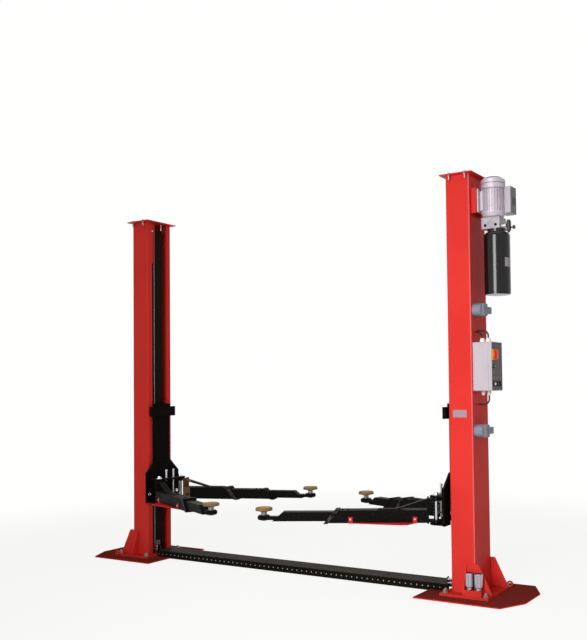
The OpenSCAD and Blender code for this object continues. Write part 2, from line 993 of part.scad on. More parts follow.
// finned motor with its bell, fan cowl, foot and terminal box
module pump_motor() {
    foot_x = outer + bracket_depth;
    z = (fins_low + fins_top) / 2;
    core = motor_core_d / 2;
    rim = motor_d / 2;
    tier = fins_top + cowl_height / 2;
    color("silver") {
        translate([motor_x, 0, 0]) {
            translate([0, 0, fins_low])
                linear_extrude(fins_height) {
                    circle(d = motor_core_d);
                    for (i = [0:fin_count - 1])
                        rotate(i * 360 / fin_count)
                            translate([0, -fin_t / 2])
                                square([rim - 1, fin_t]);
                }
            rotate_extrude()
                polygon([[0, bell_low], [core - 10, bell_low], [core, bell_low + 10], [rim, fins_low - 6],
                         [rim, fins_low], [0, fins_low]]);
            rotate_extrude()
                polygon([[0, fins_top], [rim, fins_top], [rim, tier - 2], [rim - 2, tier], [rim, tier + 2],
                         [rim, cowl_top - 12], [rim - 12, cowl_top], [rim - 24, cowl_top],
                         [rim - 26, motor_top], [0, motor_top]]);
        }
        translate([foot_x, -bracket_width / 2 + 14, z - bracket_height / 2 + 6])
            cube([foot_t, bracket_width - 28, bracket_height - 12]);
        both_ends()
            translate([foot_x, bracket_width / 4 - 8, z - bracket_height / 2 + 20])
                cube([motor_reach - bracket_depth - motor_core_d / 3, 12, bracket_height - 40]);
        terminal_box();
    }
}

// manifold with two front ports, a mounting flange and the release valve
module valve_block() {
    x0 = motor_x - block_depth / 2;
    color("silver") {
        difference() {
            block([x0, -block_width / 2, block_low], [x0 + block_depth, block_width / 2, bell_low]);
            for (i = [-1, 1])
                translate([motor_x + i * port_half, -block_width / 2 - 1, port_z])
                    rotate([-90, 0, 0])
                        cylinder(d = port_d, h = port_depth);
        }
        valve_body();
    }
}

// valve screwed into the outer side of the manifold
module valve_body() {
    translate([motor_x + block_depth / 2, valve_y, valve_z]) {
        outward()
            cylinder(d = 22, h = valve_reach - valve_d / 2 + 2);
        difference() {
            translate([valve_reach, 0, -36])
                cylinder(d = valve_d, h = 62);
            translate([valve_reach, 0, -valve_d / 2])
                outward()
                    cylinder(d = stem_d + 2 * knob_gap, h = valve_d);
        }
        translate([valve_reach, 0, 26])
            cylinder(d = 24, h = 10);
        translate([valve_reach, 0, -48])
            cylinder(d = 18, h = 12);
    }
}

module release_knob() {
    r = stem_d / 2;
    color("black")
        translate([motor_x + block_depth / 2 + valve_reach + button_stroke + knob_gap, valve_y,
                   valve_z - valve_d / 2])
            outward()
                rotate_extrude()
                    polygon([[0, 0], [r, 0], [r, 24], [r + 6, 26], [r + 8, 30], [r + 8, 36], [r + 5, 40],
                             [0, 41]]);
}

module oil_tank() {
    r = tank_d / 2;
    z0 = tank_top - tank_height;
    color("black")
        translate([motor_x + tank_offset, 0, 0])
            rotate_extrude() {
                difference() {
                    union() {
                        translate([0, z0 + 6])
                            square([r, tank_height - tank_shoulder - 6]);
                        translate([0, z0])
                            square([r - 6, 7]);
                        translate([0, tank_top - tank_shoulder])
                            square([r - tank_shoulder, tank_shoulder]);
                        intersection() {
                            translate([r - tank_shoulder, tank_top - tank_shoulder])
                                circle(tank_shoulder);
                            translate([0, tank_top - tank_shoulder])
                                square([r, tank_shoulder]);
                        }
                    }
                    // rolled seam
                    translate([r - 1.5, z0 + tank_height * 0.58])
                        square([3, 3]);
                }
                translate([0, tank_top])
                    square([neck_d / 2 - 4, neck_height]);
                translate([0, block_low - neck_height / 2])
                    square([neck_d / 2, neck_height / 3]);
            }
}

// moulded housing of a latch: rounded body with a stub that holds the coil
module latch_cover() {
    body_y = -column_depth / 2 + 15;
    translate([outer, body_y, 0]) {
        intersection() {
            rotate([90, 0, 90])
                linear_extrude(cover_depth)
                    translate([latch_length / 2, 0])
                        round_rect(latch_length, latch_height, latch_radius);
            translate([0, 0, -latch_height / 2])
                linear_extrude(latch_height)
                    polygon([[0, 0], [cover_depth * 0.75, 0], [cover_depth, latch_length * 0.25],
                             [cover_depth, latch_length * 0.85], [cover_depth * 0.7, latch_length],
                             [0, latch_length]]);
        }
        translate([0, latch_length - latch_radius, -stub_height / 2])
            cube([cover_depth - 2, latch_radius + stub_length, stub_height]);
        // pilot button
        translate([cover_depth, latch_length * 0.5, latch_height * 0.1])
            outward()
                cylinder(d = 10, h = 3);
    }
}

module latch_covers() {
    color("gray")
        for (z = latch_z, turn = [0, 180])
            translate([0, 0, z])
                rotate(turn)
                    latch_cover();
}

module gland(d, h) {
    rotate_extrude()
        polygon([[0, 0], [d / 2, 0], [d / 2, h * 0.5], [d / 2 - 2, h * 0.55], [d / 2 - 2, h * 0.8],
                 [d / 2 - 8, h], [0, h]]);
}

module control_box() {
    h = control_height;
    color("lightgray") {
        difference() {
            translate([outer, gland_y, control_z + h / 2])
                outward()
                    linear_extrude(control_depth)
                        round_rect(h, control_width, control_radius);
            // seam between body and lid
            difference() {
                block([lid_x, -control_near - 1, control_z - 1],
                      [lid_x + lid_seam, control_width - control_near + 1, control_z + h + 1]);
                block([lid_x - 1, -control_near + lid_seam, control_z + lid_seam],
                      [lid_x + lid_seam + 1, control_width - control_near - lid_seam,
                       control_z + h - lid_seam]);
            }
            // recess of the front panel
            translate([panel_x, gland_y, control_z + h / 2])
                outward()
                    linear_extrude(3)
                        round_rect(h - 12, control_width - 12, control_radius);
            // holes of the buttons
            for (i = [0:2])
                translate([panel_x - button_stroke - 1, switch_y + i * button_pitch, control_z + button_z])
                    outward()
                        cylinder(d = button_d + 2 * knob_gap, h = lid_depth);
        }
        // plate and collar of the main switch
        translate([panel_x, switch_y - switch_plate / 2, control_z + switch_z - switch_plate / 2])
            cube([switch_plate_t, switch_plate, switch_plate]);
        translate([panel_x, switch_y, control_z + switch_z])
            outward()
                cylinder(d = switch_d + 8, h = switch_plate_t + 3);
        // lamp
        translate([panel_x, switch_y, control_z + lamp_z])
            outward()
                rotate_extrude()
                    polygon([[0, 0], [lamp_d / 2, 0], [lamp_d / 2, 4], [lamp_d / 2 - 3, 9], [0, 11]]);
        // collars of the buttons
        for (i = [0:2])
            translate([panel_x, switch_y + i * button_pitch, control_z + button_z])
                outward()
                    difference() {
                        cylinder(d = button_d + 8, h = 4);
                        translate([0, 0, -1])
                            cylinder(d = button_d + 2 * knob_gap, h = 6);
                    }
        for (x = gland_x) {
            translate([x, gland_y, control_z + h])
                gland(gland_d, gland_height);
            translate([x, gland_y, control_z])
                mirror([0, 0, 1])
                    gland(gland_d * 0.8, gland_height);
        }
    }
}

// round cable that stands up from z = 0, bends towards -X and runs into the column's side
module bent_cable(reach, rise) {
    cylinder(d = cable_d, h = rise, $fn = 24);
    translate([-cable_bend, 0, rise])
        rotate([90, 0, 0])
            rotate_extrude(angle = 90)
                translate([cable_bend, 0])
                    circle(d = cable_d, $fn = 24);
    translate([-reach, 0, rise + cable_bend])
        outward()
            cylinder(d = cable_d, h = reach - cable_bend, $fn = 24);
}

module power_cables() {
    top = control_z + control_height + gland_height;
    low = control_z - gland_height;
    color("black") {
        // the two upper cables leave their glands at a turn, so that they part on the way to the column
        translate([gland_x[1], gland_y, top])
            bent_cable(gland_x[1] - outer, 14);
        translate([gland_x[0], gland_y, top])
            rotate([0, 0, 52])
                bent_cable((gland_x[0] - outer - cable_d / 2 * sin(52) - knob_gap) / cos(52), 2);
        translate([gland_x[1], gland_y, low])
            mirror([0, 0, 1])
                bent_cable(gland_x[1] - outer, 24);
    }
}

// knob with a grip bar on the box's front plate
module main_switch() {
    color("red")
        translate([panel_x + switch_plate_t + 3 + knob_gap, switch_y, control_z + switch_z])
            outward() {
                rotate_extrude()
                    polygon([[0, 0], [switch_d / 2, 0], [switch_d / 2, switch_height * 0.4],
                             [switch_d / 2 - 3, switch_height * 0.5], [0, switch_height * 0.5]]);
                translate([-switch_d / 2 + 1, -switch_d / 8, 0])
                    cube([switch_d - 2, switch_d / 4, switch_height]);
            }
}

module push_button(i) {
    translate([panel_x - 1 + knob_gap, switch_y + i * button_pitch, control_z + button_z])
        outward()
            rotate_extrude()
                polygon([[0, 0], [button_d / 2, 0], [button_d / 2, button_height - 2],
                         [button_d / 2 - 2, button_height], [0, button_height]]);
}

module raise_button() {
    color("silver")
        push_button(0);
}

module park_button() {
    color("black")
        push_button(1);
}

module lower_button() {
    color("black")
        push_button(2);
}

// slide block outline between the web and the column's wall, its outer corners cut for the bends
module slide_outline() {
    x0 = face + column_sheet + slide_gap;
    x1 = outer - column_sheet - slide_gap;
    y0 = web_offset + web_t;
    y1 = wall_in - slide_gap;
    c = bend_radius - column_sheet;
    polygon([[x0, y0 - 1], [x1, y0 - 1], [x1, y1 - c], [x1 - c, y1], [x0 + c, y1], [x0, y1 - c]]);
}

// plan of the upper ear plate: one plate across both pivots
module upper_ears_outline() {
    for (y = [-1, 1])
        translate([pivot_x, y * pivot_half])
            circle(ear_r);
    translate([pivot_x - ear_r, -pivot_half])
        square([ear_r, 2 * pivot_half]);
    translate([pivot_x, -pivot_half - ear_r])
        square([wing_x - pivot_x, 2 * (pivot_half + ear_r)]);
}

// plan of a lower ear, with a tongue that guides the lock rod
module lower_ear_outline() {
    translate([pivot_x, pivot_half])
        circle(ear_r);
    translate([pivot_x, notch_half])
        square([wing_x - pivot_x, pivot_half + ear_r - notch_half]);
    translate([pivot_x, lock_offset])
        circle(d = 2 * lock_rod_d);
    translate([pivot_x - lock_rod_d, lock_offset])
        square([2 * lock_rod_d, pivot_half - lock_offset]);
}

// holes for the pivot pins and the lock rods
module ear_holes() {
    for (y = [-1, 1])
        translate([pivot_x, y * lock_offset])
            circle(d = lock_rod_d + 2 * pin_fit);
}

module pivot_pin() {
    top = upper_ear + ear_t;
    translate([pivot_x, pivot_half, 0]) {
        translate([0, 0, lower_ear - 4])
            cylinder(d = pin_d, h = top - lower_ear + 4);
        translate([0, 0, top])
            rotate_extrude()
                polygon([[0, 0], [pin_head_d / 2, 0], [pin_head_d / 2, 6], [pin_head_d / 2 - 4, 10],
                         [pin_d / 2 - 4, 10], [pin_d / 2 - 6, 22], [0, 22]]);
    }
}

// moulded rubber strip across the spine's upper end
module door_guard() {
    translate([spine_x, 0, web_top])
        linear_extrude(guard_height)
            intersection() {
                round_rect(2 * guard_t, 2 * guard_half, guard_t / 3);
                translate([-guard_t, -guard_half])
                    square([guard_t + 1, 2 * guard_half]);
            }
}

module carriage() {
    wing_bolt_z = carriage_bottom + 71;
    translate([spine_x, 0, 0])
        rotate([90, 0, 90])
            linear_extrude(spine_t)
                polygon([[-spine_half, frame_low], [spine_half, frame_low], [spine_half, web_top],
                         [stop_half, web_top], [stop_half, carriage_top + stop_height],
                         [-stop_half, carriage_top + stop_height], [-stop_half, web_top],
                         [-spine_half, web_top]]);
    translate([wing_x, 0, 0])
        rotate([90, 0, 90])
            linear_extrude(wing_t + 1)
                polygon([[-wing_half, lower_ear], [-notch_half, lower_ear], [-notch_half, frame_low],
                         [notch_half, frame_low], [notch_half, lower_ear], [wing_half, lower_ear],
                         [wing_half, lower_ear + wing_shoulder],
                         [wing_land, lower_ear + wing_shoulder + wing_half - wing_land],
                         [-wing_land, lower_ear + wing_shoulder + wing_half - wing_land],
                         [-wing_half, lower_ear + wing_shoulder]]);
    translate([0, 0, upper_ear])
        linear_extrude(ear_t)
            difference() {
                upper_ears_outline();
                ear_holes();
            }
    // stop block over the door guard
    block([spine_x - guard_t / 2, -stop_half, carriage_top - 1],
          [spine_x + 1, stop_half, carriage_top + stop_height]);
    door_guard();
    // rear tie between the webs
    block([web_back - web_t, -web_offset - 1, frame_low + slide_length],
          [web_back, web_offset + 1, web_top - slide_length]);
    both_ends() {
        translate([0, 0, lower_ear])
            linear_extrude(ear_t)
                difference() {
                    lower_ear_outline();
                    ear_holes();
                }
        block([spine_x + spine_t - 1, web_offset, frame_low],
              [web_back, web_offset + web_t, web_top]);
        for (z = [frame_low, web_top - slide_length])
            translate([0, 0, z])
                linear_extrude(slide_length)
                    slide_outline();
        pivot_pin();
        // rib between the ears
        block([wing_x - 20, pivot_half - 6, lower_ear + ear_t - 1],
              [wing_x + 1, pivot_half + 6, upper_ear + 1]);
        // stop bolt on the wing
        translate([wing_x, wing_half - anchor_nut, wing_bolt_z])
            rotate([0, -90, 0]) {
                cylinder(d = 26, h = 3);
                hexagon(18, 11);
            }
    }
}

module left_carriage() {
    color("dimgray")
        mirror([1, 0, 0])
            carriage();
}

module right_carriage() {
    color("dimgray")
        carriage();
}

// lock rod with its cap, collar and pull handle
module lock_rod() {
    top = upper_ear + ear_t + lock_top;
    translate([pivot_x, lock_offset, 0]) {
        translate([0, 0, lower_ear - 2])
            cylinder(d = lock_rod_d, h = top - lower_ear + 2);
        translate([0, 0, top])
            cylinder(d = lock_rod_d + 6, h = 8);
        translate([0, 0, upper_ear + ear_t + 0.3])
            cylinder(d = lock_rod_d + 8, h = 6);
        translate([0, 0, lower_ear + lock_handle_z])
            rotate([-90, 0, 0])
                cylinder(d = lock_rod_d * 0.7, h = lock_handle);
    }
}

module left_near_lock() {
    color("silver")
        mirror([1, 0, 0])
            mirror([0, 1, 0])
                lock_rod();
}

module left_far_lock() {
    color("silver")
        mirror([1, 0, 0])
            lock_rod();
}

module right_near_lock() {
    color("silver")
        mirror([0, 1, 0])
            lock_rod();
}

module right_far_lock() {
    color("silver")
        lock_rod();
}

// The arms are drawn along +X from their pivot at the origin.

// side outline from a to a slanted end, whose top is at b
module slant_side(a, b, z0, z1) {
    polygon([[a, z0], [b + tube_slant, z0], [b, z1], [a, z1]]);
}

// upright slab of given width from a side outline
module upright(w) {
    rotate([90, 0, 0])
        linear_extrude(w, center = true)
            children();
}

// hollow tube with a slanted outer end
module arm_tube(a, b, size, z) {
    difference() {
        upright(size[0])
            slant_side(a, b, z, z + size[1]);
        upright(size[0] - 2 * tube_wall)
            polygon([[a - 1, z + tube_wall], [b + tube_slant + 1, z + tube_wall],
                     [b + tube_slant + 1, z + size[1] - tube_wall], [a - 1, z + size[1] - tube_wall]]);
    }
}

// ring of flat bar around the slanted end of a tube
module arm_collar(b, size, z) {
    s = tube_slant / size[1];
    low = b + tube_slant + collar_t * s;
    high = b - collar_t * s;
    difference() {
        upright(size[0] + 2 * collar_t)
            polygon([[low - collar_width, z - collar_t], [low, z - collar_t],
                     [high, z + size[1] + collar_t], [high - collar_width, z + size[1] + collar_t]]);
        translate([b - 2 * tube_slant, -size[0] / 2, z])
            cube([4 * tube_slant, size[0], size[1]]);
    }
}

// two stop screws on top of a tube, behind its collar
module stop_screws(b, size, z) {
    for (t = [b - collar_width - 2 * stop_screw_d, b - collar_width - 5 * stop_screw_d])
        translate([t, 0, z + size[1] - 1])
            hexagon(stop_screw_d, stop_screw_d / 2 + 1);
}

// strip under the sliding tube, from height z0 up to z1
module slide_strip(a, b, w, z0, z1) {
    block([a, -w / 2, z0 - 1], [b, w / 2, z1]);
}

// ears, end plate and sloped stay at the pivot end of an arm
module arm_root(size, z) {
    top = z + size[1];
    start = end_plate_at + end_plate_t;
    difference() {
        union() {
            for (h = [arm_ear_low, arm_ear_top - ear_t])
                translate([0, 0, h])
                    linear_extrude(ear_t) {
                        circle(arm_ear_r);
                        translate([0, -arm_ear_r])
                            square([end_plate_at + 1, 2 * arm_ear_r]);
                    }
            block([end_plate_at, -size[0] / 2, arm_ear_low - end_plate_rise],
                  [start, size[0] / 2, arm_ear_top + end_plate_rise]);
            upright(stay_width)
                polygon([[start - 1, arm_ear_top], [start - 1, arm_ear_top - stay_t],
                         [start + stay_reach - stay_t, top - 1], [start + stay_reach + stay_t, top - 1]]);
            block([start + stay_reach - 10, -stay_width / 2, top - 1],
                  [start + stay_reach + doubler_length, stay_width / 2, top + doubler_t]);
        }
        translate([0, 0, arm_ear_low - 2 * ear_t])
            cylinder(r = pin_d / 2 + pin_fit, h = arm_ear_top - arm_ear_low + 4 * ear_t);
    }
}

// bowed plate along the tube's side, hung on two screwed tabs
module toe_guard(size, z, span) {
    w = size[0] / 2;
    translate([0, 0, z - toe_t / 2])
        linear_extrude(toe_t)
            polygon([[guard_start, w - 1], [guard_start + span * 0.12, w + guard_bow],
                     [guard_start + span * 0.25, w + guard_bow],
                     [guard_start + span - tab_width, w + toe_t], [guard_start + span, w - 1]]);
    for (t = [guard_start, guard_start + span])
        translate([t, w, z - toe_t / 2]) {
            translate([-tab_width / 2, -1, 0])
                cube([tab_width, 5, tab_height]);
            translate([0, 4, tab_height - tab_width / 2])
                rotate([-90, 0, 0])
                    hexagon(12, 6);
        }
}

module near_arm() {
    start = end_plate_at + end_plate_t;
    arm_root(near_base, near_z);
    arm_tube(start - 1, near_base_end, near_base, near_z);
    slide_strip(start, near_base_end, near_tip_w / 2, near_z + tube_wall, near_tip_z - tube_gap);
    arm_collar(near_base_end, near_base, near_z);
    stop_screws(near_base_end, near_base, near_z);
    toe_guard(near_base, near_z, near_guard_span);
}

module far_arm() {
    start = end_plate_at + end_plate_t;
    arm_root(far_base, far_z);
    arm_tube(start - 1, far_base_end, far_base, far_z);
    arm_collar(far_base_end, far_base, far_z);
    stop_screws(far_base_end, far_base, far_z);
    toe_guard(far_base, far_z, far_guard_span);
}

module far_middle(b) {
    arm_tube(b - far_mid_length, b, far_mid, far_mid_z);
    slide_strip(b - far_mid_length, b, far_tip_w / 2, far_mid_z + tube_wall, far_tip_z - tube_gap);
    arm_collar(b, far_mid, far_mid_z);
    stop_screws(b, far_mid, far_mid_z);
}

// tip tube closed by a slanted plate, with its tongue and screw boss, pad centre at distance c
module arm_tip(c, size, z, length) {
    b = c - tongue_reach - tube_slant;
    difference() {
        union() {
            difference() {
                upright(size[0])
                    slant_side(b - length, b, z, z + size[1]);
                upright(size[0] - 2 * tube_wall)
                    slant_side(b - length - 1, b - 2 * tube_wall, z + tube_wall, z + size[1] - tube_wall);
            }
            block([b + tube_slant / 2, -tongue_w / 2, boss_z], [c, tongue_w / 2, boss_z + tongue_t]);
            translate([c, 0, boss_z])
                rotate_extrude()
                    polygon([[0, 0], [boss_d / 2 - 6, 0], [boss_d / 2, 6], [boss_d / 2, tongue_t],
                             [boss_d / 2 - 8, boss_height], [0, boss_height]]);
        }
        translate([c, 0, boss_z - 1])
            cylinder(r = screw_d / 2 + screw_fit, h = boss_height + 2);
    }
}

// screw with its cup and the moulded pad, pad centre at distance c
module arm_pad(c) {
    cup_z = boss_z + boss_height + pad_gap;
    pad_z = cup_z + cup_height;
    translate([c, 0, 0]) {
        translate([0, 0, boss_z - screw_drop])
            cylinder(d = screw_d, h = cup_z - boss_z + screw_drop);
        translate([0, 0, cup_z])
            rotate_extrude()
                polygon([[0, 0], [screw_d / 2 + 2, 0], [pad_d / 2 - 10, cup_height], [0, cup_height]]);
        difference() {
            translate([0, 0, pad_z])
                rotate_extrude()
                    polygon([[0, 0], [pad_d / 2 - 3, 0], [pad_d / 2, 3], [pad_d / 2, pad_t - 5],
                             [pad_d / 2 - 5, pad_t], [0, pad_t]]);
            for (i = [0:pad_ribs - 1])
                rotate(i * 360 / pad_ribs)
                    translate([pad_d / 4, -pad_groove / 2, pad_z + pad_t - pad_groove])
                        cube([pad_d, pad_groove, 2 * pad_groove]);
        }
    }
}

// places an arm drawn along +X at its pivot; side is -1 for the left post, end is -1 for the near side
module at_pivot(side, end, swing) {
    translate([side * pivot_x, end * pivot_half, 0])
        rotate([0, 0, side > 0 ? 180 - end * swing : end * swing])
            children();
}

module left_near_arm() {
    color("dimgray")
        at_pivot(-1, -1, near_swing)
            mirror([0, 1, 0])
                near_arm();
}

module right_near_arm() {
    color("dimgray")
        at_pivot(1, -1, near_swing)
            near_arm();
}

module left_far_arm() {
    color("dimgray")
        at_pivot(-1, 1, far_swing)
            far_arm();
}

module right_far_arm() {
    color("dimgray")
        at_pivot(1, 1, far_swing)
            mirror([0, 1, 0])
                far_arm();
}

module left_far_middle() {
    color("dimgray")
        at_pivot(-1, 1, far_swing)
            far_middle(left_mid_end);
}

module right_far_middle() {
    color("dimgray")
        at_pivot(1, 1, far_swing)
            far_middle(right_mid_end);
}

module left_near_tip() {
    color("dimgray")
        at_pivot(-1, -1, near_swing)
            arm_tip(left_near_reach, near_tip, near_tip_z, near_tip_length);
}

module right_near_tip() {
    color("dimgray")
        at_pivot(1, -1, near_swing)
            arm_tip(right_near_reach, near_tip, near_tip_z, near_tip_length);
}

module left_far_tip() {
    color("dimgray")
        at_pivot(-1, 1, far_swing)
            arm_tip(left_far_reach, far_tip, far_tip_z, far_tip_length);
}

module right_far_tip() {
    color("dimgray")
        at_pivot(1, 1, far_swing)
            arm_tip(right_far_reach, far_tip, far_tip_z, far_tip_length);
}

module left_near_pad() {
    color("goldenrod")
        at_pivot(-1, -1, near_swing)
            arm_pad(left_near_reach);
}

module right_near_pad() {
    color("goldenrod")
        at_pivot(1, -1, near_swing)
            arm_pad(right_near_reach);
}

module left_far_pad() {
    color("goldenrod")
        at_pivot(-1, 1, far_swing)
            arm_pad(left_far_reach);
}

module right_far_pad() {
    color("goldenrod")
        at_pivot(1, 1, far_swing)
            arm_pad(right_far_reach);
}

floor_plates();
base_plates();
left_column();
right_column();
base_gussets();
cap_plates();
dust_curtains();
rope_sheaves();
sync_rope();
floor_cover();
hose_fittings();
height_adapters();
fixing_bolts();
pump_bracket();
pump_motor();
valve_block();
release_knob();
oil_tank();
latch_covers();
control_box();
power_cables();
main_switch();
raise_button();
park_button();
lower_button();
left_carriage();
right_carriage();
left_near_lock();
left_far_lock();
right_near_lock();
right_far_lock();
left_near_arm();
left_far_arm();
right_near_arm();
right_far_arm();
left_far_middle();
right_far_middle();
left_near_tip();
left_far_tip();
right_near_tip();
right_far_tip();
left_near_pad();
left_far_pad();
right_near_pad();
right_far_pad();
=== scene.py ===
import math
import bpy
from mathutils import Matrix, Vector


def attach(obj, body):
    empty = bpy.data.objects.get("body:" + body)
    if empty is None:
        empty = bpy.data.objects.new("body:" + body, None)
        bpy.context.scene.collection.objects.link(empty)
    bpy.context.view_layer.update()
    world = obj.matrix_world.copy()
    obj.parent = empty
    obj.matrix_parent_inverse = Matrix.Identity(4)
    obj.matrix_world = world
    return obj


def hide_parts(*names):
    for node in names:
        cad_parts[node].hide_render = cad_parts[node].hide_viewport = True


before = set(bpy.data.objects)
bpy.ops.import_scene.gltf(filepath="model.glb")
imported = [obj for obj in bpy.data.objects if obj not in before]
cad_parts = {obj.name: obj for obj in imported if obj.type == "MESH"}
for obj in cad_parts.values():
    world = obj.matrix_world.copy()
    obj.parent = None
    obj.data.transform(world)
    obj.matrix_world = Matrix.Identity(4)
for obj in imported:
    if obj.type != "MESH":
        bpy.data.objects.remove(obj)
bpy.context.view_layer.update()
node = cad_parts
print("frame loaded:", len(node), "nodes")


class Wire:
    # one output of a shader node, so that shader maths reads as plain sums
    def __init__(self, finish, socket):
        self.finish = finish
        self.socket = socket

    def join(self, operation, first, second):
        return self.finish.add("ShaderNodeMath", {"operation": operation}, [first, second])

    def __add__(self, other):
        return self.join("ADD", self, other)

    def __radd__(self, other):
        return self.join("ADD", other, self)

    def __sub__(self, other):
        return self.join("SUBTRACT", self, other)

    def __rsub__(self, other):
        return self.join("SUBTRACT", other, self)

    def __mul__(self, other):
        return self.join("MULTIPLY", self, other)

    def __rmul__(self, other):
        return self.join("MULTIPLY", other, self)

    def __gt__(self, other):
        return self.join("GREATER_THAN", self, other)

    def __lt__(self, other):
        return self.join("LESS_THAN", self, other)

    def size(self):
        return self.join("ABSOLUTE", self, 0.0)


class Finish:
    def __init__(self, name, **values):
        self.material = bpy.data.materials.new(name)
        self.material.use_nodes = True
        self.tree = self.material.node_tree
        self.shader = self.tree.nodes["Principled BSDF"]
        for label, value in values.items():  # the same all over the surface
            self.shader.inputs[label.replace("_", " ")].default_value = value
        self.here = self.add("ShaderNodeTexCoord", {}, {}, "Object")
        self.facing = self.add("ShaderNodeTexCoord", {}, {}, "Normal")
        self.x, self.y, self.z = [self.add("ShaderNodeSeparateXYZ", {}, [self.here], a) for a in "XYZ"]

    # settings first, then the values or links of the sockets
    def add(self, kind, settings, sockets, output=0):
        made = self.tree.nodes.new(kind)
        for label, value in settings.items():
            if label == "stops":
                ramp = made.color_ramp
                while len(ramp.elements) < len(value):
                    ramp.elements.new(0.5)
                for element, (place, colour) in zip(ramp.elements, value):
                    element.position = place
                    element.color = (*colour, 1)
            else:
                setattr(made, label, value)
        pairs = sockets.items() if isinstance(sockets, dict) else enumerate(sockets)
        for label, value in pairs:
            if isinstance(value, Wire):
                self.tree.links.new(value.socket, made.inputs[label])
            else:
                made.inputs[label].default_value = value
        return Wire(self, made.outputs[output])

    def feed(self, label, wire):
        self.tree.links.new(wire.socket, self.shader.inputs[label])

    # colours are given as red, green, blue or as another mix
    def mix(self, share, first, second):
        first, second = [(*c, 1) if isinstance(c, tuple) else c for c in (first, second)]
        return self.add("ShaderNodeMix", {"data_type": "RGBA"}, {0: share, 6: first, 7: second}, 2)

    def colour(self, first, *layers):
        made = first
        for share, colour in layers:
            made = self.mix(share, made, colour)
        self.feed("Base Color", made)

    def grain(self, scale, detail=2.0, stretch=(1, 1, 1)):
        place = self.add("ShaderNodeVectorMath", {"operation": "MULTIPLY"}, [self.here, stretch])
        return self.add("ShaderNodeTexNoise", {}, {"Vector": place, "Scale": scale, "Detail": detail})

    # 0 below low, 1 above high, for a value such as a grain
    def ramp(self, value, low, high):
        return self.add("ShaderNodeMapRange", {"interpolation_type": "SMOOTHSTEP"}, [value, low, high, 0.0, 1.0])

    def inside(self, x=None, y=None, z=None):
        made = None
        for wire, limits in ((self.x, x), (self.y, y), (self.z, z)):
            if limits:
                share = (wire > limits[0]) * (wire < limits[1])
                made = share if made is None else made * share
        return made

    # 1 within a radius of an upright axis
    def near(self, x, y, radius):
        dx, dy = self.x - x, self.y - y
        return (dx * dx + dy * dy) < radius * radius

    def upward(self, low=0.55, high=0.9):
        tilt = self.add("ShaderNodeSeparateXYZ", {}, [self.facing], "Z")
        return self.ramp(tilt, low, high)

    def bump(self, height, strength, distance=0.001):
        self.feed("Normal", self.add("ShaderNodeBump", {}, {"Strength": strength, "Distance": distance,
                                                            "Height": height}))


def srgb(red, green, blue):
    return tuple(c / 255 / 12.92 if c <= 10 else ((c / 255 + 0.055) / 1.055) ** 2.4 for c in (red, green, blue))


def wear(piece, finish):
    piece.data.materials.clear()
    piece.data.materials.append(finish.material)
    for face in piece.data.polygons:
        face.material_index = 0


stage = {"eye": (3.8382, -5.2922, 1.3928), "turn": 0.526, "tilt": 0.036, "roll": -0.013, "focal": 844.9,
         "width": 587, "height": 640, "middle": (378.0, 356.6), "floor": (0.88, 0.875, 0.865)}


def whiteRays(tree):
    # 1 for what the camera sees, directly, in a mirror or through glass
    path = tree.nodes.new("ShaderNodeLightPath")
    seen = path.outputs["Is Camera Ray"]
    for label in ("Is Glossy Ray", "Is Transmission Ray"):
        joined = tree.nodes.new("ShaderNodeMath")
        joined.operation = "MAXIMUM"
        tree.links.new(seen, joined.inputs[0])
        tree.links.new(path.outputs[label], joined.inputs[1])
        seen = joined.outputs[0]
    return seen


def buildStage():
    bpy.ops.object.select_all(action="DESELECT")
    bpy.ops.mesh.primitive_plane_add(size=60, location=(0, 0, -0.0006))
    floor = bpy.context.object
    floor.name = "floor"
    paper = Finish("seamlessPaper", Roughness=0.85, Specular_IOR_Level=0.1)
    paper.colour(stage["floor"], (paper.grain(0.35, 1.0) * 0.25, (0.92, 0.915, 0.905)))
    # lit paper shows through near the lift as its shadow, and turns white away from it
    away = paper.ramp(paper.x * paper.x + paper.y * paper.y, 6.0, 30.0)
    white = paper.add("ShaderNodeEmission", {}, [(1, 1, 0.995, 1), 1.0])
    share = Wire(paper, whiteRays(paper.tree)) * (0.86 + 0.14 * away)
    shown = paper.add("ShaderNodeMixShader", {}, [share, Wire(paper, paper.shader.outputs[0]), white])
    paper.tree.links.new(shown.socket, paper.tree.nodes["Material Output"].inputs["Surface"])
    wear(floor, paper)

    # the backdrop is white to the camera and in reflections, and softer as a light
    world = bpy.data.worlds.new("studio")
    bpy.context.scene.world = world
    world.use_nodes = True
    tree = world.node_tree
    tree.nodes.clear()
    soft = tree.nodes.new("ShaderNodeBackground")
    soft.inputs["Color"].default_value = (1, 0.99, 0.98, 1)
    soft.inputs["Strength"].default_value = 0.36
    bright = tree.nodes.new("ShaderNodeBackground")
    bright.inputs["Color"].default_value = (1, 1, 0.995, 1)
    bright.inputs["Strength"].default_value = 1.0
    blend = tree.nodes.new("ShaderNodeMixShader")
    out = tree.nodes.new("ShaderNodeOutputWorld")
    tree.links.new(whiteRays(tree), blend.inputs[0])
    tree.links.new(soft.outputs[0], blend.inputs[1])
    tree.links.new(bright.outputs[0], blend.inputs[2])
    tree.links.new(blend.outputs[0], out.inputs["Surface"])


def buildLamp(name, place, aim, size, power, spread=180):
    lamp = bpy.data.lights.new(name, "AREA")
    lamp.shape = "RECTANGLE"
    lamp.size, lamp.size_y = size
    lamp.energy = power
    lamp.spread = math.radians(spread)
    holder = bpy.data.objects.new(name, lamp)
    bpy.context.scene.collection.objects.link(holder)
    holder.location = place
    holder.rotation_euler = (Vector(aim) - Vector(place)).to_track_quat("-Z", "Y").to_euler()


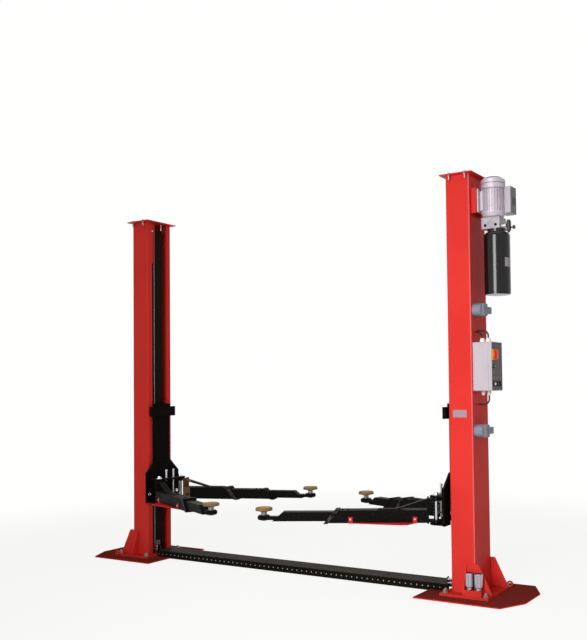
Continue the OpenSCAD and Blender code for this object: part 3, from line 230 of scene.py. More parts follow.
def buildCamera():
    lens = bpy.data.cameras.new("photoCamera")
    camera = bpy.data.objects.new("photoCamera", lens)
    bpy.context.scene.collection.objects.link(camera)
    turn, tilt, roll = stage["turn"], stage["tilt"], stage["roll"]
    ahead = Vector((-math.sin(turn) * math.cos(tilt), math.cos(turn) * math.cos(tilt), math.sin(tilt)))
    level = Vector((math.cos(turn), math.sin(turn), 0))
    over = level.cross(ahead)
    right = level * math.cos(roll) + over * math.sin(roll)
    up = over * math.cos(roll) - level * math.sin(roll)
    camera.matrix_world = Matrix.Translation(stage["eye"]) @ Matrix(
        [(right[i], up[i], -ahead[i], 0) for i in range(3)] + [(0, 0, 0, 1)])
    lens.sensor_fit = "HORIZONTAL"
    lens.sensor_width = 36
    lens.lens = stage["focal"] * 36 / stage["width"]
    lens.shift_x = (stage["width"] / 2 - stage["middle"][0]) / stage["width"]
    lens.shift_y = (stage["middle"][1] - stage["height"] / 2) / stage["width"]
    lens.clip_start, lens.clip_end = 0.1, 100
    bpy.context.scene.camera = camera


buildStage()
buildLamp("keyLamp", (1.6, -5.0, 2.6), (1.45, -0.1, 1.3), (2.0, 2.0), 52, 86)
buildLamp("topLamp", (0.5, -1.0, 6.0), (0, 0, 0), (5.0, 4.0), 34)
buildCamera()
bpy.context.scene.view_settings.view_transform = "Standard"
print("stage ready")


# the last colour is the pale line painted on the column bends as a painted highlight
red = {"paint": srgb(220, 56, 50), "deep": srgb(204, 46, 40), "dust": srgb(150, 56, 46), "edge": srgb(246, 128, 130)}


def redPaint(name, top=None, edges=(), shine=0.03, coat=0.02):
    # sprayed gloss with a slight orange peel; the bends get pale lines, a painted highlight that stands in for the
    # light they catch
    paint = Finish(name, Coat_Weight=coat, Coat_Roughness=0.12, Specular_IOR_Level=shine)
    cloudy = paint.grain(1.6, 3.0)
    layers = [(paint.ramp(cloudy, 0.3, 0.75) * 0.6, red["deep"]),
              ((1.0 - paint.ramp(paint.z, 0.0, 0.25)) * paint.ramp(paint.grain(14.0, 4.0), 0.45, 0.7) * 0.35, red["dust"])]
    for share in [corner(paint) for corner in edges]:
        layers.append((share, red["edge"]))
    # a top colour is painted shade: it darkens the faces that look up
    if top:
        layers.append((paint.upward(), top))
    paint.colour(red["paint"], *layers)
    paint.feed("Roughness", 0.26 + 0.16 * paint.grain(7.0, 3.0))
    paint.bump(paint.grain(420.0, 1.0), 0.05, 0.0004)
    return paint


def columnBends(side):
    # painted highlight: a thin pale line on the bend beside each face of the channel, strongest on the near faces of
    # the right column, where the key lamp falls
    inner, outer, half = 1.388, 1.562, 0.135
    def bend(paint):
        along = paint.x * side
        corner = ((along - outer).size() < 0.0075) * ((paint.y.size() - half).size() < 0.0075)
        near = (paint.y < 0.0) * (0.9 if side > 0 else 0.4)
        return corner * (0.1 + near * 0.55) * (0.7 + 0.3 * paint.ramp(paint.grain(3.0, 2.0), 0.25, 0.6))
    return bend


def blackPaint(name, parts=(), rough=0.38, tone=(19, 17, 16)):
    # satin black, scuffed, with dust lying on what faces up
    paint = Finish(name, Specular_IOR_Level=0.025)
    scuffs = paint.ramp(paint.grain(60.0, 4.0, (1, 1, 2.2)), 0.62, 0.72)
    dust = paint.upward() * paint.ramp(paint.grain(5.0, 4.0), 0.35, 0.75)
    layers = [(scuffs * 0.3, srgb(72, 66, 62)), (dust * 0.35, srgb(74, 62, 56))]
    rough = rough + 0.22 * paint.grain(11.0, 3.0)
    metal = None
    for share, colour, shine in [part(paint) for part in parts]:
        layers.append((share, colour))
        rough = rough * (1 - share) + share * shine
        if shine < 0.25:
            metal = share if metal is None else metal + share
    paint.colour(srgb(*tone), *layers)
    paint.feed("Roughness", rough)
    if metal is not None:
        paint.feed("Metallic", metal)
    paint.bump(paint.grain(260.0, 2.0), 0.08, 0.0005)
    return paint


def chrome(name, tone=(205, 202, 208), rough=0.16, ring=900.0):
    metal = Finish(name, Metallic=1.0)
    rings = metal.add("ShaderNodeTexNoise", {}, {"Vector": metal.add(
        "ShaderNodeVectorMath", {"operation": "MULTIPLY"}, [metal.here, (0.15, 0.15, 1.0)]), "Scale": ring})
    # painted reflection: dark upright bands placed by the direction a face points, as if a studio were mirrored in the
    # metal
    flat = metal.add("ShaderNodeVectorMath", {"operation": "MULTIPLY"}, [metal.facing, (1, 1, 0.15)])
    bands = metal.add("ShaderNodeTexNoise", {}, {"Vector": flat, "Scale": 1.9, "Detail": 2.0})
    metal.colour(srgb(*tone), (metal.ramp(metal.grain(24.0, 3.0), 0.5, 0.8) * 0.3, srgb(150, 146, 150)),
                 (metal.ramp(bands, 0.52, 0.66) * 0.8, srgb(74, 70, 76)))
    metal.feed("Roughness", rough + 0.14 * metal.grain(30.0, 3.0))
    metal.bump(rings, 0.06, 0.0003)
    return metal


def plainPlastic(name, tone, rough=0.45, parts=(), grainSize=500.0, coat=0.0, shine=0.3):
    plastic = Finish(name, Coat_Weight=coat, Coat_Roughness=0.1, Specular_IOR_Level=shine)
    darker = tuple(c * 0.82 for c in srgb(*tone))
    layers = [(plastic.ramp(plastic.grain(8.0, 3.0), 0.4, 0.8) * 0.35, darker)]
    for share, colour in [part(plastic) for part in parts]:
        layers.append((share, colour))
    plastic.colour(srgb(*tone), *layers)
    plastic.feed("Roughness", rough + 0.12 * plastic.grain(16.0, 2.0))
    plastic.bump(plastic.grain(grainSize, 1.0), 0.06, 0.0004)
    return plastic


def patch(tone, x=None, y=None, z=None, shine=None):
    # a painted field between limits along the axes
    def part(paint):
        share = paint.inside(x, y, z)
        return (share, srgb(*tone)) if shine is None else (share, srgb(*tone), shine)
    return part


def disc(tone, x, y, radius, z, shine=0.14):
    def part(paint):
        return paint.near(x, y, radius) * paint.inside(z=z), srgb(*tone), shine
    return part


for name, side in (("left_column", -1), ("right_column", 1)):
    wear(node[name], redPaint(name + "Paint", edges=[columnBends(side)]))
wear(node["cap_plates"], redPaint("capPaint"))
wear(node["base_gussets"], redPaint("gussetPaint"))
# the tops of the base and floor plates are painted darker than their edges: painted shade
wear(node["base_plates"], redPaint("basePaint", top=srgb(184, 46, 38), shine=0.03, coat=0.0))
wear(node["floor_plates"], redPaint("floorPaint", top=srgb(120, 44, 37), shine=0.0, coat=0.0))
wear(node["pump_bracket"], redPaint("bracketPaint"))



def ropeFinish():
    # strands laid round the rope show as slanting ridges
    wire = Finish("ropeWire", Metallic=0.8)
    lay = wire.add("ShaderNodeTexWave", {"wave_type": "BANDS", "bands_direction": "DIAGONAL"},
                   {"Vector": wire.here, "Scale": 70.0, "Distortion": 0.4, "Detail": 1.0})
    wire.colour(srgb(150, 146, 142), (wire.ramp(lay, 0.6, 0.1) * 0.7, srgb(64, 58, 54)),
                (wire.ramp(wire.grain(30.0, 4.0), 0.5, 0.8) * 0.4, srgb(90, 74, 60)))
    wire.feed("Roughness", 0.38 + 0.2 * wire.grain(60.0, 2.0))
    wire.bump(lay, 0.6, 0.0008)
    return wire


def boltFinish():
    metal = Finish("boltZinc", Metallic=0.85)
    # the hanger rods are painted pinkish white: a painted highlight with a painted reflection of the red paint around
    # them
    rods = metal.inside(y=(-0.06, 0.06), z=(2.7, 2.9))
    metal.colour(srgb(158, 154, 150), (metal.ramp(metal.grain(90.0, 4.0), 0.55, 0.7) * 0.5, srgb(116, 84, 60)),
                 (rods, srgb(232, 200, 202)))
    metal.feed("Roughness", 0.36 + 0.2 * metal.grain(50.0, 3.0))
    metal.bump(metal.grain(300.0, 2.0), 0.1, 0.0004)
    return metal


def sheaveFinish():
    metal = Finish("sheaveSteel", Specular_IOR_Level=0.1)
    plates = metal.inside(z=(2.46, 2.82)) * (metal.x.size() < 1.402)
    heads = (metal.x.size() < 1.3946) * plates
    metal.colour(srgb(120, 116, 112), (metal.ramp(metal.grain(70.0, 4.0), 0.5, 0.75) * 0.5, srgb(76, 60, 50)),
                 (plates, srgb(176, 50, 44)), (heads, srgb(224, 220, 222)))
    metal.feed("Metallic", 0.7 * (1 - plates + heads))
    metal.feed("Roughness", 0.4 + 0.2 * metal.grain(40.0, 3.0))
    metal.bump(metal.grain(260.0, 2.0), 0.1, 0.0004)
    return metal


wear(node["fixing_bolts"], boltFinish())
wear(node["rope_sheaves"], sheaveFinish())
wear(node["sync_rope"], ropeFinish())
wear(node["hose_fittings"], chrome("fittingChrome", (214, 204, 214), 0.14))
wear(node["height_adapters"], chrome("adapterChrome", (184, 178, 188), 0.15, 1500.0))


def coverFinish():
    paint = Finish("coverPaint", Specular_IOR_Level=0.01)
    rivets = (paint.y.size() > 0.0845) * (paint.z < 0.04)
    dust = paint.upward() * (0.45 + 0.55 * paint.ramp(paint.grain(9.0, 4.0, (0.12, 1, 1)), 0.3, 0.7))
    paint.colour(srgb(24, 22, 19), (dust * 0.7, srgb(72, 62, 58)),
                 (paint.ramp(paint.grain(45.0, 4.0), 0.6, 0.75) * 0.3, srgb(70, 66, 62)), (rivets, srgb(168, 164, 154)))
    paint.feed("Roughness", 0.34 + 0.25 * paint.grain(10.0, 3.0))
    paint.feed("Metallic", rivets * 0.8)
    paint.bump(paint.grain(220.0, 2.0), 0.08, 0.0005)
    return paint


wear(node["floor_cover"], coverFinish())

pivot = {"x": 1.278, "y": 0.122, "lockY": 0.041, "near": 26.5, "far": 18.0}


def carriageParts(side):
    parts = [patch((26, 25, 25), x=(-1.338, 1.338), z=(1.171, 1.2525), shine=0.6)]
    for end in (-1, 1):
        parts.append(disc((206, 204, 210), side * pivot["x"], end * pivot["y"], 0.0182, (0.45, 0.6541)))
        parts.append(disc((210, 208, 214), side * pivot["x"], end * pivot["y"], 0.0268, (0.6541, 0.68)))
        low, high = sorted((side * 1.34, side * 1.3537))
        parts.append(patch((232, 226, 228), x=(low, high), y=(end * 0.158 - 0.015, end * 0.158 + 0.015),
                           z=(0.513, 0.545), shine=0.2))
    return parts


def armParts(side, end, size, guard):
    # red toe guard along one side of the base tube, with bright screws through its tabs
    heading = math.radians(end * pivot[guard["swing"]] if side < 0 else 180 - end * pivot[guard["swing"]])
    turned = guard["turned"]

    def part(paint):
        dx, dy = paint.x - side * pivot["x"], paint.y - end * pivot["y"]
        along = dx * math.cos(heading) + dy * math.sin(heading)
        across = (dy * math.cos(heading) - dx * math.sin(heading)) * turned
        return along, across

    def red(paint):
        along, across = part(paint)
        share = (across > size / 2 + 0.0003) * (along > 0.128) * (along < 0.147 + guard["span"] + 0.015)
        return share, srgb(206, 44, 50), 0.36

    def screws(paint):
        along, across = part(paint)
        share = (across > size / 2 + 0.0042) * (across < size / 2 + 0.0108) * (paint.z > 0.481) * (along > 0.128) * (
            along < 0.147 + guard["span"] + 0.015)
        return share, srgb(206, 200, 204), 0.2

    def collarEdges(paint):
        # the rims of the collar and the end plate are drawn lighter, in patches
        along, across = part(paint)
        rim = (across.size() > size / 2 + 0.0048) * (along > 0.147 + guard["span"] + 0.02)
        return rim * 0.35 * paint.ramp(paint.grain(40.0, 3.0), 0.35, 0.6), srgb(120, 112, 108), 0.4

    def brownTint(paint):
        # a brown tint on the root of the arm, below its stay
        along, across = part(paint)
        share = (along > 0.03) * (along < 0.115) * (across.size() < size / 2 + 0.001)
        return share * 0.8 * paint.ramp(paint.grain(20.0, 4.0), 0.3, 0.5), srgb(128, 92, 64), 0.6

    return [red, screws, collarEdges] + ([brownTint] if side < 0 < end else [])


for side, name in ((-1, "left"), (1, "right")):
    wear(node[name + "_carriage"], blackPaint(name + "CarriagePaint", carriageParts(side), 0.5, (12, 11, 9)))
    for end, place in ((-1, "near"), (1, "far")):
        wear(node[f"{name}_{place}_lock"], chrome(f"{name}{place.title()}LockChrome", (214, 210, 216), 0.14, 600.0))
        turned = side if end < 0 else -side
        guard = {"swing": place, "turned": turned, "span": 0.435 if end < 0 else 0.230}
        wear(node[f"{name}_{place}_arm"], blackPaint(f"{name}{place.title()}ArmPaint",
                                                    armParts(side, end, 0.1, guard), 0.36))
        if end > 0:
            wear(node[f"{name}_far_middle"], blackPaint(name + "MiddlePaint"))
        wear(node[f"{name}_{place}_tip"], blackPaint(f"{name}{place.title()}TipPaint", rough=0.32))


def motorFinish():
    metal = Finish("motorAluminium", Metallic=0.3, Specular_IOR_Level=0.2)
    dark = metal.inside(x=(1.8045, 1.83), y=(0.025, 0.098), z=(2.60, 2.658))
    terminal = metal.inside(x=(1.7655, 1.83), y=(-0.002, 0.12), z=(2.54, 2.73))
    # painted shade: the terminal box's side towards +X is painted darker than its front
    shadedLid = metal.inside(x=(1.8042, 1.83))
    joints = metal.inside(z=(2.7465, 2.7515)) + metal.inside(z=(2.712, 2.7155)) + metal.inside(z=(2.5145, 2.5215))
    cap = metal.inside(z=(2.7842, 2.80))
    metal.colour(srgb(204, 193, 202), (metal.ramp(metal.grain(9.0, 4.0), 0.35, 0.75) * 0.4, srgb(168, 158, 167)),
                 (joints * 0.6, srgb(96, 90, 96)), (terminal, srgb(172, 164, 172)), (shadedLid, srgb(112, 106, 112)),
                 (dark, srgb(64, 60, 64)), (cap, srgb(74, 70, 72)))
    metal.feed("Roughness", 0.42 + 0.15 * metal.grain(30.0, 3.0))
    metal.bump(metal.grain(300.0, 3.0), 0.18, 0.0006)
    return metal


def valveFinish():
    metal = Finish("valveAluminium", Specular_IOR_Level=0.5)
    ports = metal.inside(x=(1.634, 1.654), z=(2.4548, 2.4748)) + metal.inside(x=(1.708, 1.728), z=(2.4548, 2.4748))
    body = metal.inside(x=(1.7805, 1.83))
    brass = metal.inside(x=(1.7452, 1.7805))
    metal.colour(srgb(150, 144, 150), (metal.ramp(metal.grain(20.0, 4.0), 0.4, 0.7) * 0.5, srgb(110, 104, 108)),
                 (ports * metal.inside(y=(-0.0599, -0.03)), srgb(40, 36, 36)), (body, srgb(34, 32, 32)),
                 (brass * (1 - body), srgb(214, 208, 212)))
    metal.feed("Roughness", 0.38 + 0.18 * metal.grain(40.0, 3.0))
    metal.feed("Metallic", 0.6 * (1 - body))
    metal.bump(metal.grain(240.0, 3.0), 0.12, 0.0005)
    return metal


def tankFinish():
    paint = Finish("tankEnamel", Coat_Weight=0.5, Coat_Roughness=0.16, Specular_IOR_Level=0.04)
    seam = paint.inside(z=(2.195, 2.199))
    label = paint.inside(x=(1.76, 1.80), y=(-0.048, 0.033), z=(2.182, 2.242))
    neck = paint.inside(z=(2.4221, 2.45))
    dust = paint.upward(0.3, 0.8) * 0.35
    paint.colour(srgb(20, 17, 19), (paint.ramp(paint.grain(26.0, 4.0), 0.6, 0.8) * 0.12, srgb(48, 44, 46)),
                 (dust, srgb(60, 56, 56)), (neck, srgb(50, 46, 46)), (label, srgb(158, 150, 158)))
    paint.feed("Roughness", 0.2 + 0.08 * paint.grain(13.0, 3.0) + label * 0.3)
    paint.bump(paint.grain(40.0, 2.0) * 0.05 + seam, 0.25, 0.0006)
    return paint


def latchFinish():
    plastic = Finish("latchPlastic")
    dot = (plastic.x.size() > 1.6393) * (plastic.y > -0.075)
    pale = plastic.inside(y=(-0.105, -0.062)) * (plastic.x.size() > 1.59)
    grooves = ((plastic.y + 0.058).size() < 0.002) + ((plastic.y + 0.108).size() < 0.002)
    plastic.colour(srgb(122, 126, 140), (plastic.ramp(plastic.grain(12.0, 3.0), 0.35, 0.75) * 0.35, srgb(96, 98, 110)),
                   (pale * 0.5, srgb(150, 153, 168)), (grooves * 0.6, srgb(84, 86, 98)),
                   (dot, srgb(150, 40, 50)))
    plastic.feed("Roughness", 0.42 + 0.12 * plastic.grain(20.0, 2.0))
    plastic.bump(plastic.grain(420.0, 2.0), 0.12, 0.0004)
    return plastic


def boxFinish():
    face = 1.6935
    parts = [patch((108, 98, 102), x=(face, 1.6962), y=(-0.1092, 0.0622), z=(1.3638, 1.6772)),
             patch((226, 150, 40), x=(face, 1.7072), y=(-0.1085, -0.0355), z=(1.5615, 1.6345)),
             patch((40, 38, 40), x=(face, 1.699), y=(-0.09, 0.05), z=(1.385, 1.424)),
             patch((206, 176, 60), x=(face, 1.695), y=(-0.082, -0.062), z=(1.480, 1.487))]
    for y in (-0.072, -0.021, 0.03):
        parts.append(patch((196, 164, 66), x=(face, 1.695), y=(y - 0.005, y + 0.005), z=(1.438, 1.452)))
    parts.append(patch((246, 244, 240), z=(1.6831, 1.72)))
    parts.append(patch((246, 244, 240), z=(1.32, 1.3579)))

    def lamp(plastic):
        dy, dz = plastic.y + 0.072, plastic.z - 1.521
        reach = dy * dy + dz * dz
        share = (reach < 0.0135 * 0.0135) * (plastic.x > 1.6938)
        # painted glow: the indicator's colour gets lighter towards its centre
        paintedGlow = plastic.ramp(reach, 0.00009, 0.0)
        return share, plastic.mix(paintedGlow, srgb(18, 84, 70), srgb(120, 214, 190))
    parts.append(lamp)
    return plainPlastic("boxPlastic", (190, 180, 187), 0.45, parts, 600.0, shine=0.15)


wear(node["pump_motor"], motorFinish())
wear(node["valve_block"], valveFinish())
wear(node["release_knob"], plainPlastic("knobPlastic", (38, 34, 34), 0.35, [patch((176, 40, 44), x=(1.8225, 1.8295))]))
wear(node["oil_tank"], tankFinish())
wear(node["latch_covers"], latchFinish())
wear(node["control_box"], boxFinish())
wear(node["main_switch"], plainPlastic("switchPlastic", (214, 44, 34), 0.3, coat=0.3))
wear(node["raise_button"], chrome("raiseButtonMetal", (226, 220, 232), 0.2))
wear(node["park_button"], plainPlastic("parkButtonPlastic", (30, 28, 34), 0.3))
wear(node["lower_button"], plainPlastic("lowerButtonPlastic", (30, 28, 34), 0.3))
print("CAD nodes painted")


def start(name, piece=None):
    piece = piece or bpy.context.object
    piece.name = name
    piece.data.name = name
    return piece


def only(piece):
    if bpy.context.object and bpy.context.object.mode != "OBJECT":
        bpy.ops.object.mode_set(mode="OBJECT")
    bpy.ops.object.select_all(action="DESELECT")
    piece.select_set(True)
    bpy.context.view_layer.objects.active = piece


# leaves the piece in edit mode with the faces that pass the test selected
def pickFaces(piece, test):
    only(piece)
    bpy.ops.object.mode_set(mode="EDIT")
    bpy.ops.mesh.select_mode(type="FACE")
    bpy.ops.mesh.select_all(action="DESELECT")
    bpy.ops.object.mode_set(mode="OBJECT")
    for face in piece.data.polygons:
        face.select = bool(test(face.center, face.normal))
    bpy.ops.object.mode_set(mode="EDIT")


def fold(piece, kind, **settings):
    # adds a modifier and applies it
    only(piece)
    made = piece.modifiers.new(kind.lower(), kind)
    for label, value in settings.items():
        setattr(made, label, value)
    bpy.ops.object.modifier_apply(modifier=made.name)


def settle(piece, finish, body, slot=None, smooth=35):
    # the piece's place goes into its mesh, then it rides on its body
    only(piece)
    bpy.ops.object.transform_apply(location=True, rotation=True, scale=True)
    if smooth:
        bpy.ops.object.shade_smooth_by_angle(angle=math.radians(smooth))
    wear(piece, finish)
    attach(piece, body)
    return piece


def turned(name, profile, steps=48, place=(0, 0, 0)):
    # a profile of (radius, height) spun about an upright axis
    bpy.ops.object.select_all(action="DESELECT")
    mesh = bpy.data.meshes.new(name)
    mesh.from_pydata([(r, 0, z) for r, z in profile], [(i, i + 1) for i in range(len(profile) - 1)], [])
    piece = bpy.data.objects.new(name, mesh)
    bpy.context.scene.collection.objects.link(piece)
    fold(piece, "SCREW", steps=steps, render_steps=steps, angle=2 * math.pi, screw_offset=0, use_merge_vertices=True,
         merge_threshold=0.00001)
    bpy.ops.object.mode_set(mode="EDIT")
    bpy.ops.mesh.select_all(action="SELECT")
    bpy.ops.mesh.remove_doubles(threshold=0.00002)
    bpy.ops.mesh.normals_make_consistent(inside=False)
    bpy.ops.object.mode_set(mode="OBJECT")
    piece.location = place
    return piece


def tubeAlong(name, points, radius, sides=5):
    # a round tube on a smooth curve through the points
    bpy.ops.object.select_all(action="DESELECT")
    line = bpy.data.curves.new(name, "CURVE")
    line.dimensions = "3D"
    line.bevel_depth = radius
    line.bevel_resolution = sides
    line.resolution_u = 8
    line.use_fill_caps = True
    spline = line.splines.new("BEZIER")
    spline.bezier_points.add(len(points) - 1)
    for knot, point in zip(spline.bezier_points, points):
        knot.co = point
        knot.handle_left_type = knot.handle_right_type = "AUTO"
    piece = bpy.data.objects.new(name, line)
    bpy.context.scene.collection.objects.link(piece)
    only(piece)
    bpy.ops.object.convert(target="MESH")
    return bpy.context.object


curtain = {"x": 1.4135, "width": 0.112, "low": 0.026, "high": 2.7635, "across": 14, "rows": 160, "cloth": 0.0016,
           "hem": 0.03, "wave": 0.0016}


def clothFinish():
    cloth = Finish("curtainCloth", Sheen_Weight=0.03, Sheen_Roughness=0.5, Specular_IOR_Level=0.02)
    weaveY = cloth.add("ShaderNodeTexWave", {"wave_type": "BANDS", "bands_direction": "Y"},
                       {"Vector": cloth.here, "Scale": 380.0, "Distortion": 0.6, "Detail": 1.0})
    weaveZ = cloth.add("ShaderNodeTexWave", {"wave_type": "BANDS", "bands_direction": "Z"},
                       {"Vector": cloth.here, "Scale": 380.0, "Distortion": 0.6, "Detail": 1.0})
    dust = cloth.ramp(cloth.grain(3.0, 4.0, (1, 1, 0.4)), 0.45, 0.8)
    seam = ((cloth.y.size() - 0.049).size() < 0.0007) * 0.6
    cloth.colour(srgb(25, 24, 19), (dust * 0.3, srgb(48, 44, 38)), (seam, srgb(60, 58, 54)))
    cloth.feed("Roughness", 0.62 + 0.2 * cloth.grain(20.0, 2.0))
    cloth.bump(weaveY + weaveZ, 0.2, 0.0005)
    return cloth


def buildCurtain(side, finish):
    name = ("left" if side < 0 else "right") + "CurtainCloth"
    bpy.ops.object.select_all(action="DESELECT")
    bpy.ops.mesh.primitive_grid_add(x_subdivisions=curtain["across"], y_subdivisions=curtain["rows"], size=1)
    piece = start(name)
    tall = curtain["high"] - curtain["low"]
    for point in piece.data.vertices:
        across, up = point.co.x, point.co.y + 0.5
        slack = math.sin(math.pi * min(1, max(0, up))) ** 0.5
        ripple = math.sin(across * 9 + up * 7) * 0.7 + math.sin(up * 41 + across * 4) * 0.3 + math.sin(across * 16 - up * 3) * 0.4
        point.co = (side * (curtain["x"] + curtain["wave"] * slack * ripple), across * curtain["width"],
                    curtain["low"] + up * tall)
    fold(piece, "SOLIDIFY", thickness=curtain["cloth"], offset=0)
    # the top is folded over into a hem round the rods' clamps
    pickFaces(piece, lambda c, n: c.z > curtain["high"] - curtain["hem"] and abs(n.x) > 0.5)
    bpy.ops.mesh.extrude_region_shrink_fatten(TRANSFORM_OT_shrink_fatten={"value": 0.0008})
    only(piece)
    settle(piece, finish, "frame", "curtain_fabric")
    return piece


cloth = clothFinish()
leftCurtain = buildCurtain(-1, cloth)
rightCurtain = buildCurtain(1, cloth)
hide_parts("dust_curtains")
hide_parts("dust_curtains")
print("curtains hung")

pad = {"radius": 0.0596, "thick": 0.0218, "low": 0.557, "lobes": 16, "scallop": 0.0022, "groove": 0.0032,
       "screw": 0.0209, "core": 0.0186, "pitch": 0.006, "screwLow": 0.4872, "cupLow": 0.548, "cupHigh": 0.557,
       "reach": {"left_near": 1.120, "right_near": 1.180, "left_far": 1.160, "right_far": 0.915}}


def rubberFinish():
    rubber = Finish("padRubber", Specular_IOR_Level=0.35)
    rings = rubber.ramp(rubber.grain(55.0, 4.0), 0.4, 0.7)
    side = 1 - rubber.upward(0.3, 0.8)
    rubber.colour(srgb(172, 136, 74), (rings * 0.5, srgb(120, 84, 42)), (side * 0.55, srgb(96, 66, 40)),
                  (rubber.ramp(rubber.grain(18.0, 5.0), 0.58, 0.72) * 0.6, srgb(62, 44, 30)))
    rubber.feed("Roughness", 0.5 + 0.2 * rubber.grain(30.0, 3.0))
    rubber.bump(rubber.grain(240.0, 3.0), 0.25, 0.0007)
    return rubber


def buildPadRubber():
    # a disc whose rim is scalloped and whose face is cut by radial grooves
    lobes = pad["lobes"]
    bpy.ops.object.select_all(action="DESELECT")
    bpy.ops.mesh.primitive_cylinder_add(vertices=lobes * 6, radius=pad["radius"], depth=pad["thick"],
                                        location=(0, 0, pad["low"] + pad["thick"] / 2))
    piece = start("padRubberDisc")
    bpy.ops.object.transform_apply(location=True)
    pickFaces(piece, lambda c, n: n.z > 0.9)
    bpy.ops.mesh.inset(thickness=0.006)
    bpy.ops.mesh.inset(thickness=0.018)
    bpy.ops.mesh.inset(thickness=0.012)
    bpy.ops.mesh.inset(thickness=0.006)
    only(piece)

    def lobe(c):
        return (math.degrees(math.atan2(c.y, c.x)) % (360 / lobes)) / (360 / lobes)
    top = pad["low"] + pad["thick"]
    # grooves: every sixth wedge between the inner ring and the rim goes down
    pickFaces(piece, lambda c, n: n.z > 0.9 and 0.026 < math.hypot(c.x, c.y) < 0.054 and lobe(c) < 1 / 6)
    bpy.ops.mesh.extrude_region_move(TRANSFORM_OT_translate={"value": (0, 0, -pad["groove"])})
    only(piece)
    for point in piece.data.vertices:
        reach = math.hypot(point.co.x, point.co.y)
        if reach > pad["radius"] - 0.001:
            turn = math.atan2(point.co.y, point.co.x)
            shrink = pad["scallop"] * (0.5 - 0.5 * math.cos(lobes * turn)) / reach
            low = 0.0015 if point.co.z < pad["low"] + 0.001 else 0.0035
            point.co.x *= 1 - shrink - low / reach
            point.co.y *= 1 - shrink - low / reach
            point.co.z += 0 if point.co.z < top - 0.001 else -0.0022
    # a rounded belly between the two rims
    pickFaces(piece, lambda c, n: abs(n.z) < 0.4 and math.hypot(c.x, c.y) > pad["radius"] - 0.012 and c.z < top - 0.004)
    bpy.ops.mesh.inset(thickness=0.004, use_even_offset=False)
    bpy.ops.mesh.extrude_region_shrink_fatten(TRANSFORM_OT_shrink_fatten={"value": 0.0022})
    only(piece)
    fold(piece, "BEVEL", width=0.0006, segments=2, limit_method="ANGLE", angle_limit=math.radians(40))
    return piece


def buildPadScrew():
    # trapezoid thread on the screw, drawn as rings a pitch apart
    profile = [(0.0, pad["screwLow"]), (pad["core"] - 0.003, pad["screwLow"]), (pad["core"], pad["screwLow"] + 0.002)]
    z = pad["screwLow"] + 0.004
    while z < pad["cupLow"] - pad["pitch"]:
        profile += [(pad["core"], z), (pad["screw"], z + pad["pitch"] * 0.3), (pad["screw"], z + pad["pitch"] * 0.55),
                    (pad["core"], z + pad["pitch"] * 0.85)]
        z += pad["pitch"]
    profile += [(pad["core"], pad["cupLow"] + 0.0005), (0.0, pad["cupLow"] + 0.0005)]
    return turned("padScrewRod", profile)


def buildPadCup():
    low, high = pad["cupLow"], pad["cupHigh"]
    return turned("padCupDish", [(0.0, low), (0.0226, low), (0.024, low + 0.0012), (0.044, high - 0.0024),
                                 (0.0492, high - 0.0012), (0.0498, high), (0.0, high)])


def buildPads():
    rubber, screwSteel, cupPaint = rubberFinish(), chrome("padScrewSteel", (184, 180, 178), 0.28, 400.0), blackPaint("cupPaint")
    first = [(buildPadRubber(), rubber, "PadRubber", "pad_rubber"), (buildPadScrew(), screwSteel, "PadScrew", "chrome"),
             (buildPadCup(), cupPaint, "PadCup", "black_paint")]
    for side, name in ((-1, "left"), (1, "right")):
        for end, place in ((-1, "near"), (1, "far")):
            key = f"{name}_{place}"
            heading = math.radians(end * pivot[place] if side < 0 else 180 - end * pivot[place])
            reach = pad["reach"][key]
            middle = (side * pivot["x"] + reach * math.cos(heading), end * pivot["y"] + reach * math.sin(heading), 0)
            made = []
            for source, finish, label, slot in first:
                piece = source.copy()
                piece.data = source.data.copy()
                piece.name = piece.data.name = name + place.title() + label
                bpy.context.scene.collection.objects.link(piece)
                piece.location = middle
                piece.rotation_euler = (0, 0, heading)
                made.append(settle(piece, finish, key + "_pad", slot, 30))
            for piece in made:
                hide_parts(key + "_pad")
    for source, finish, label, slot in first:
        bpy.data.objects.remove(source)


buildPads()
print("pads made")

cable = {"radius": 0.0058, "wall": 1.562, "y": -0.0235, "top": 1.713, "low": 1.328, "bend": 0.036,
         "xNear": 1.59416, "xFar": 1.63704}


def sheathFinish():
    rubber = Finish("cableSheath", Specular_IOR_Level=0.45)
    rubber.colour(srgb(30, 28, 28), (rubber.ramp(rubber.grain(60.0, 3.0), 0.5, 0.8) * 0.4, srgb(62, 58, 56)))
    rubber.feed("Roughness", 0.45 + 0.2 * rubber.grain(40.0, 2.0))
    rubber.bump(rubber.grain(500.0, 2.0), 0.15, 0.0004)
    return rubber


def bentRoute(x, z, reach, rise, swing, sign):
    # straight up out of the gland, round a bend towards the column and straight into it
    points = [(0, 0, -0.006), (0, 0, rise * 0.5)]
    for step in range(7):
        angle = math.pi / 2 * step / 6
        points.append((-cable["bend"] * (1 - math.cos(angle)), 0, rise + cable["bend"] * math.sin(angle)))
    for step in range(1, 4):
        points.append((-cable["bend"] - (reach - cable["bend"]) * step / 3, 0, rise + cable["bend"]))
    turn = math.radians(swing)
    return [(x + px * math.cos(turn), cable["y"] + px * math.sin(turn), z + sign * pz) for px, py, pz in points]


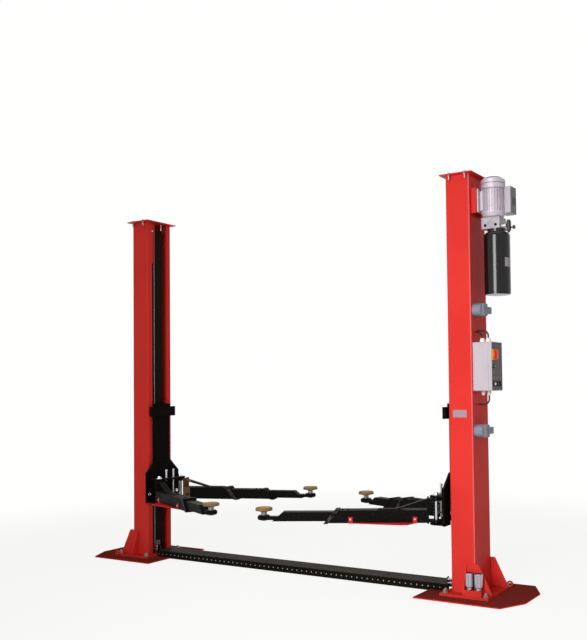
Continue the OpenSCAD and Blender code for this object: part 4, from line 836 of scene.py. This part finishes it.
def buildCables():
    finish = sheathFinish()
    swing = 52
    short = (cable["xNear"] - cable["wall"] - 0.006 * math.sin(math.radians(swing)) - 0.0003) / math.cos(math.radians(swing))
    routes = {"upperOuterCable": bentRoute(cable["xFar"], cable["top"], cable["xFar"] - cable["wall"], 0.014, 0, 1),
              "upperInnerCable": bentRoute(cable["xNear"], cable["top"], short, 0.002, swing, 1),
              "lowerCable": bentRoute(cable["xFar"], cable["low"], cable["xFar"] - cable["wall"], 0.024, 0, -1)}
    for name, points in routes.items():
        piece = tubeAlong(name, points, cable["radius"])
        start(name, piece)
        settle(piece, finish, "frame", "cable_rubber", 60)
        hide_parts("power_cables")


buildCables()
print("cables laid")

plate = {"low": (1.419, 1.183), "high": (1.520, 1.233), "y": -0.1352, "thick": 0.0008, "rivet": 0.003}


def buildNamePlate():
    width, height = [plate["high"][i] - plate["low"][i] for i in (0, 1)]
    middle = [(plate["high"][i] + plate["low"][i]) / 2 for i in (0, 1)]
    bpy.ops.object.select_all(action="DESELECT")
    bpy.ops.mesh.primitive_cube_add(size=1, location=(middle[0], plate["y"], middle[1]),
                                    scale=(width, plate["thick"], height))
    piece = start("namePlate")
    bpy.ops.object.transform_apply(location=True, scale=True)
    pickFaces(piece, lambda c, n: n.y < -0.9)
    bpy.ops.mesh.inset(thickness=0.003)
    bpy.ops.mesh.extrude_region_move(TRANSFORM_OT_translate={"value": (0, 0.0003, 0)})
    only(piece)
    for x in (plate["low"][0] + 0.006, plate["high"][0] - 0.006):
        for z in (plate["low"][1] + 0.006, plate["high"][1] - 0.006):
            bpy.ops.mesh.primitive_uv_sphere_add(segments=12, ring_count=6, radius=plate["rivet"], location=(x, plate["y"] - 0.0002, z),
                                                 scale=(1, 0.5, 1))
            rivet = bpy.context.object
            rivet.select_set(True)
            piece.select_set(True)
            bpy.context.view_layer.objects.active = piece
            bpy.ops.object.join()
    fold(piece, "BEVEL", width=0.0002, segments=1)
    metal = Finish("plateAluminium", Metallic=0.3, Specular_IOR_Level=0.2)
    metal.colour(srgb(158, 140, 146), (metal.ramp(metal.grain(60.0, 2.0, (0.2, 1, 6)), 0.4, 0.7) * 0.5, srgb(120, 104, 110)))
    metal.feed("Roughness", 0.35 + 0.15 * metal.grain(90.0, 2.0))
    metal.bump(metal.grain(400.0, 1.0, (0.05, 1, 1)), 0.1, 0.0003)
    settle(piece, metal, "frame", "motor_metal")


buildNamePlate()
print("name plate fixed")
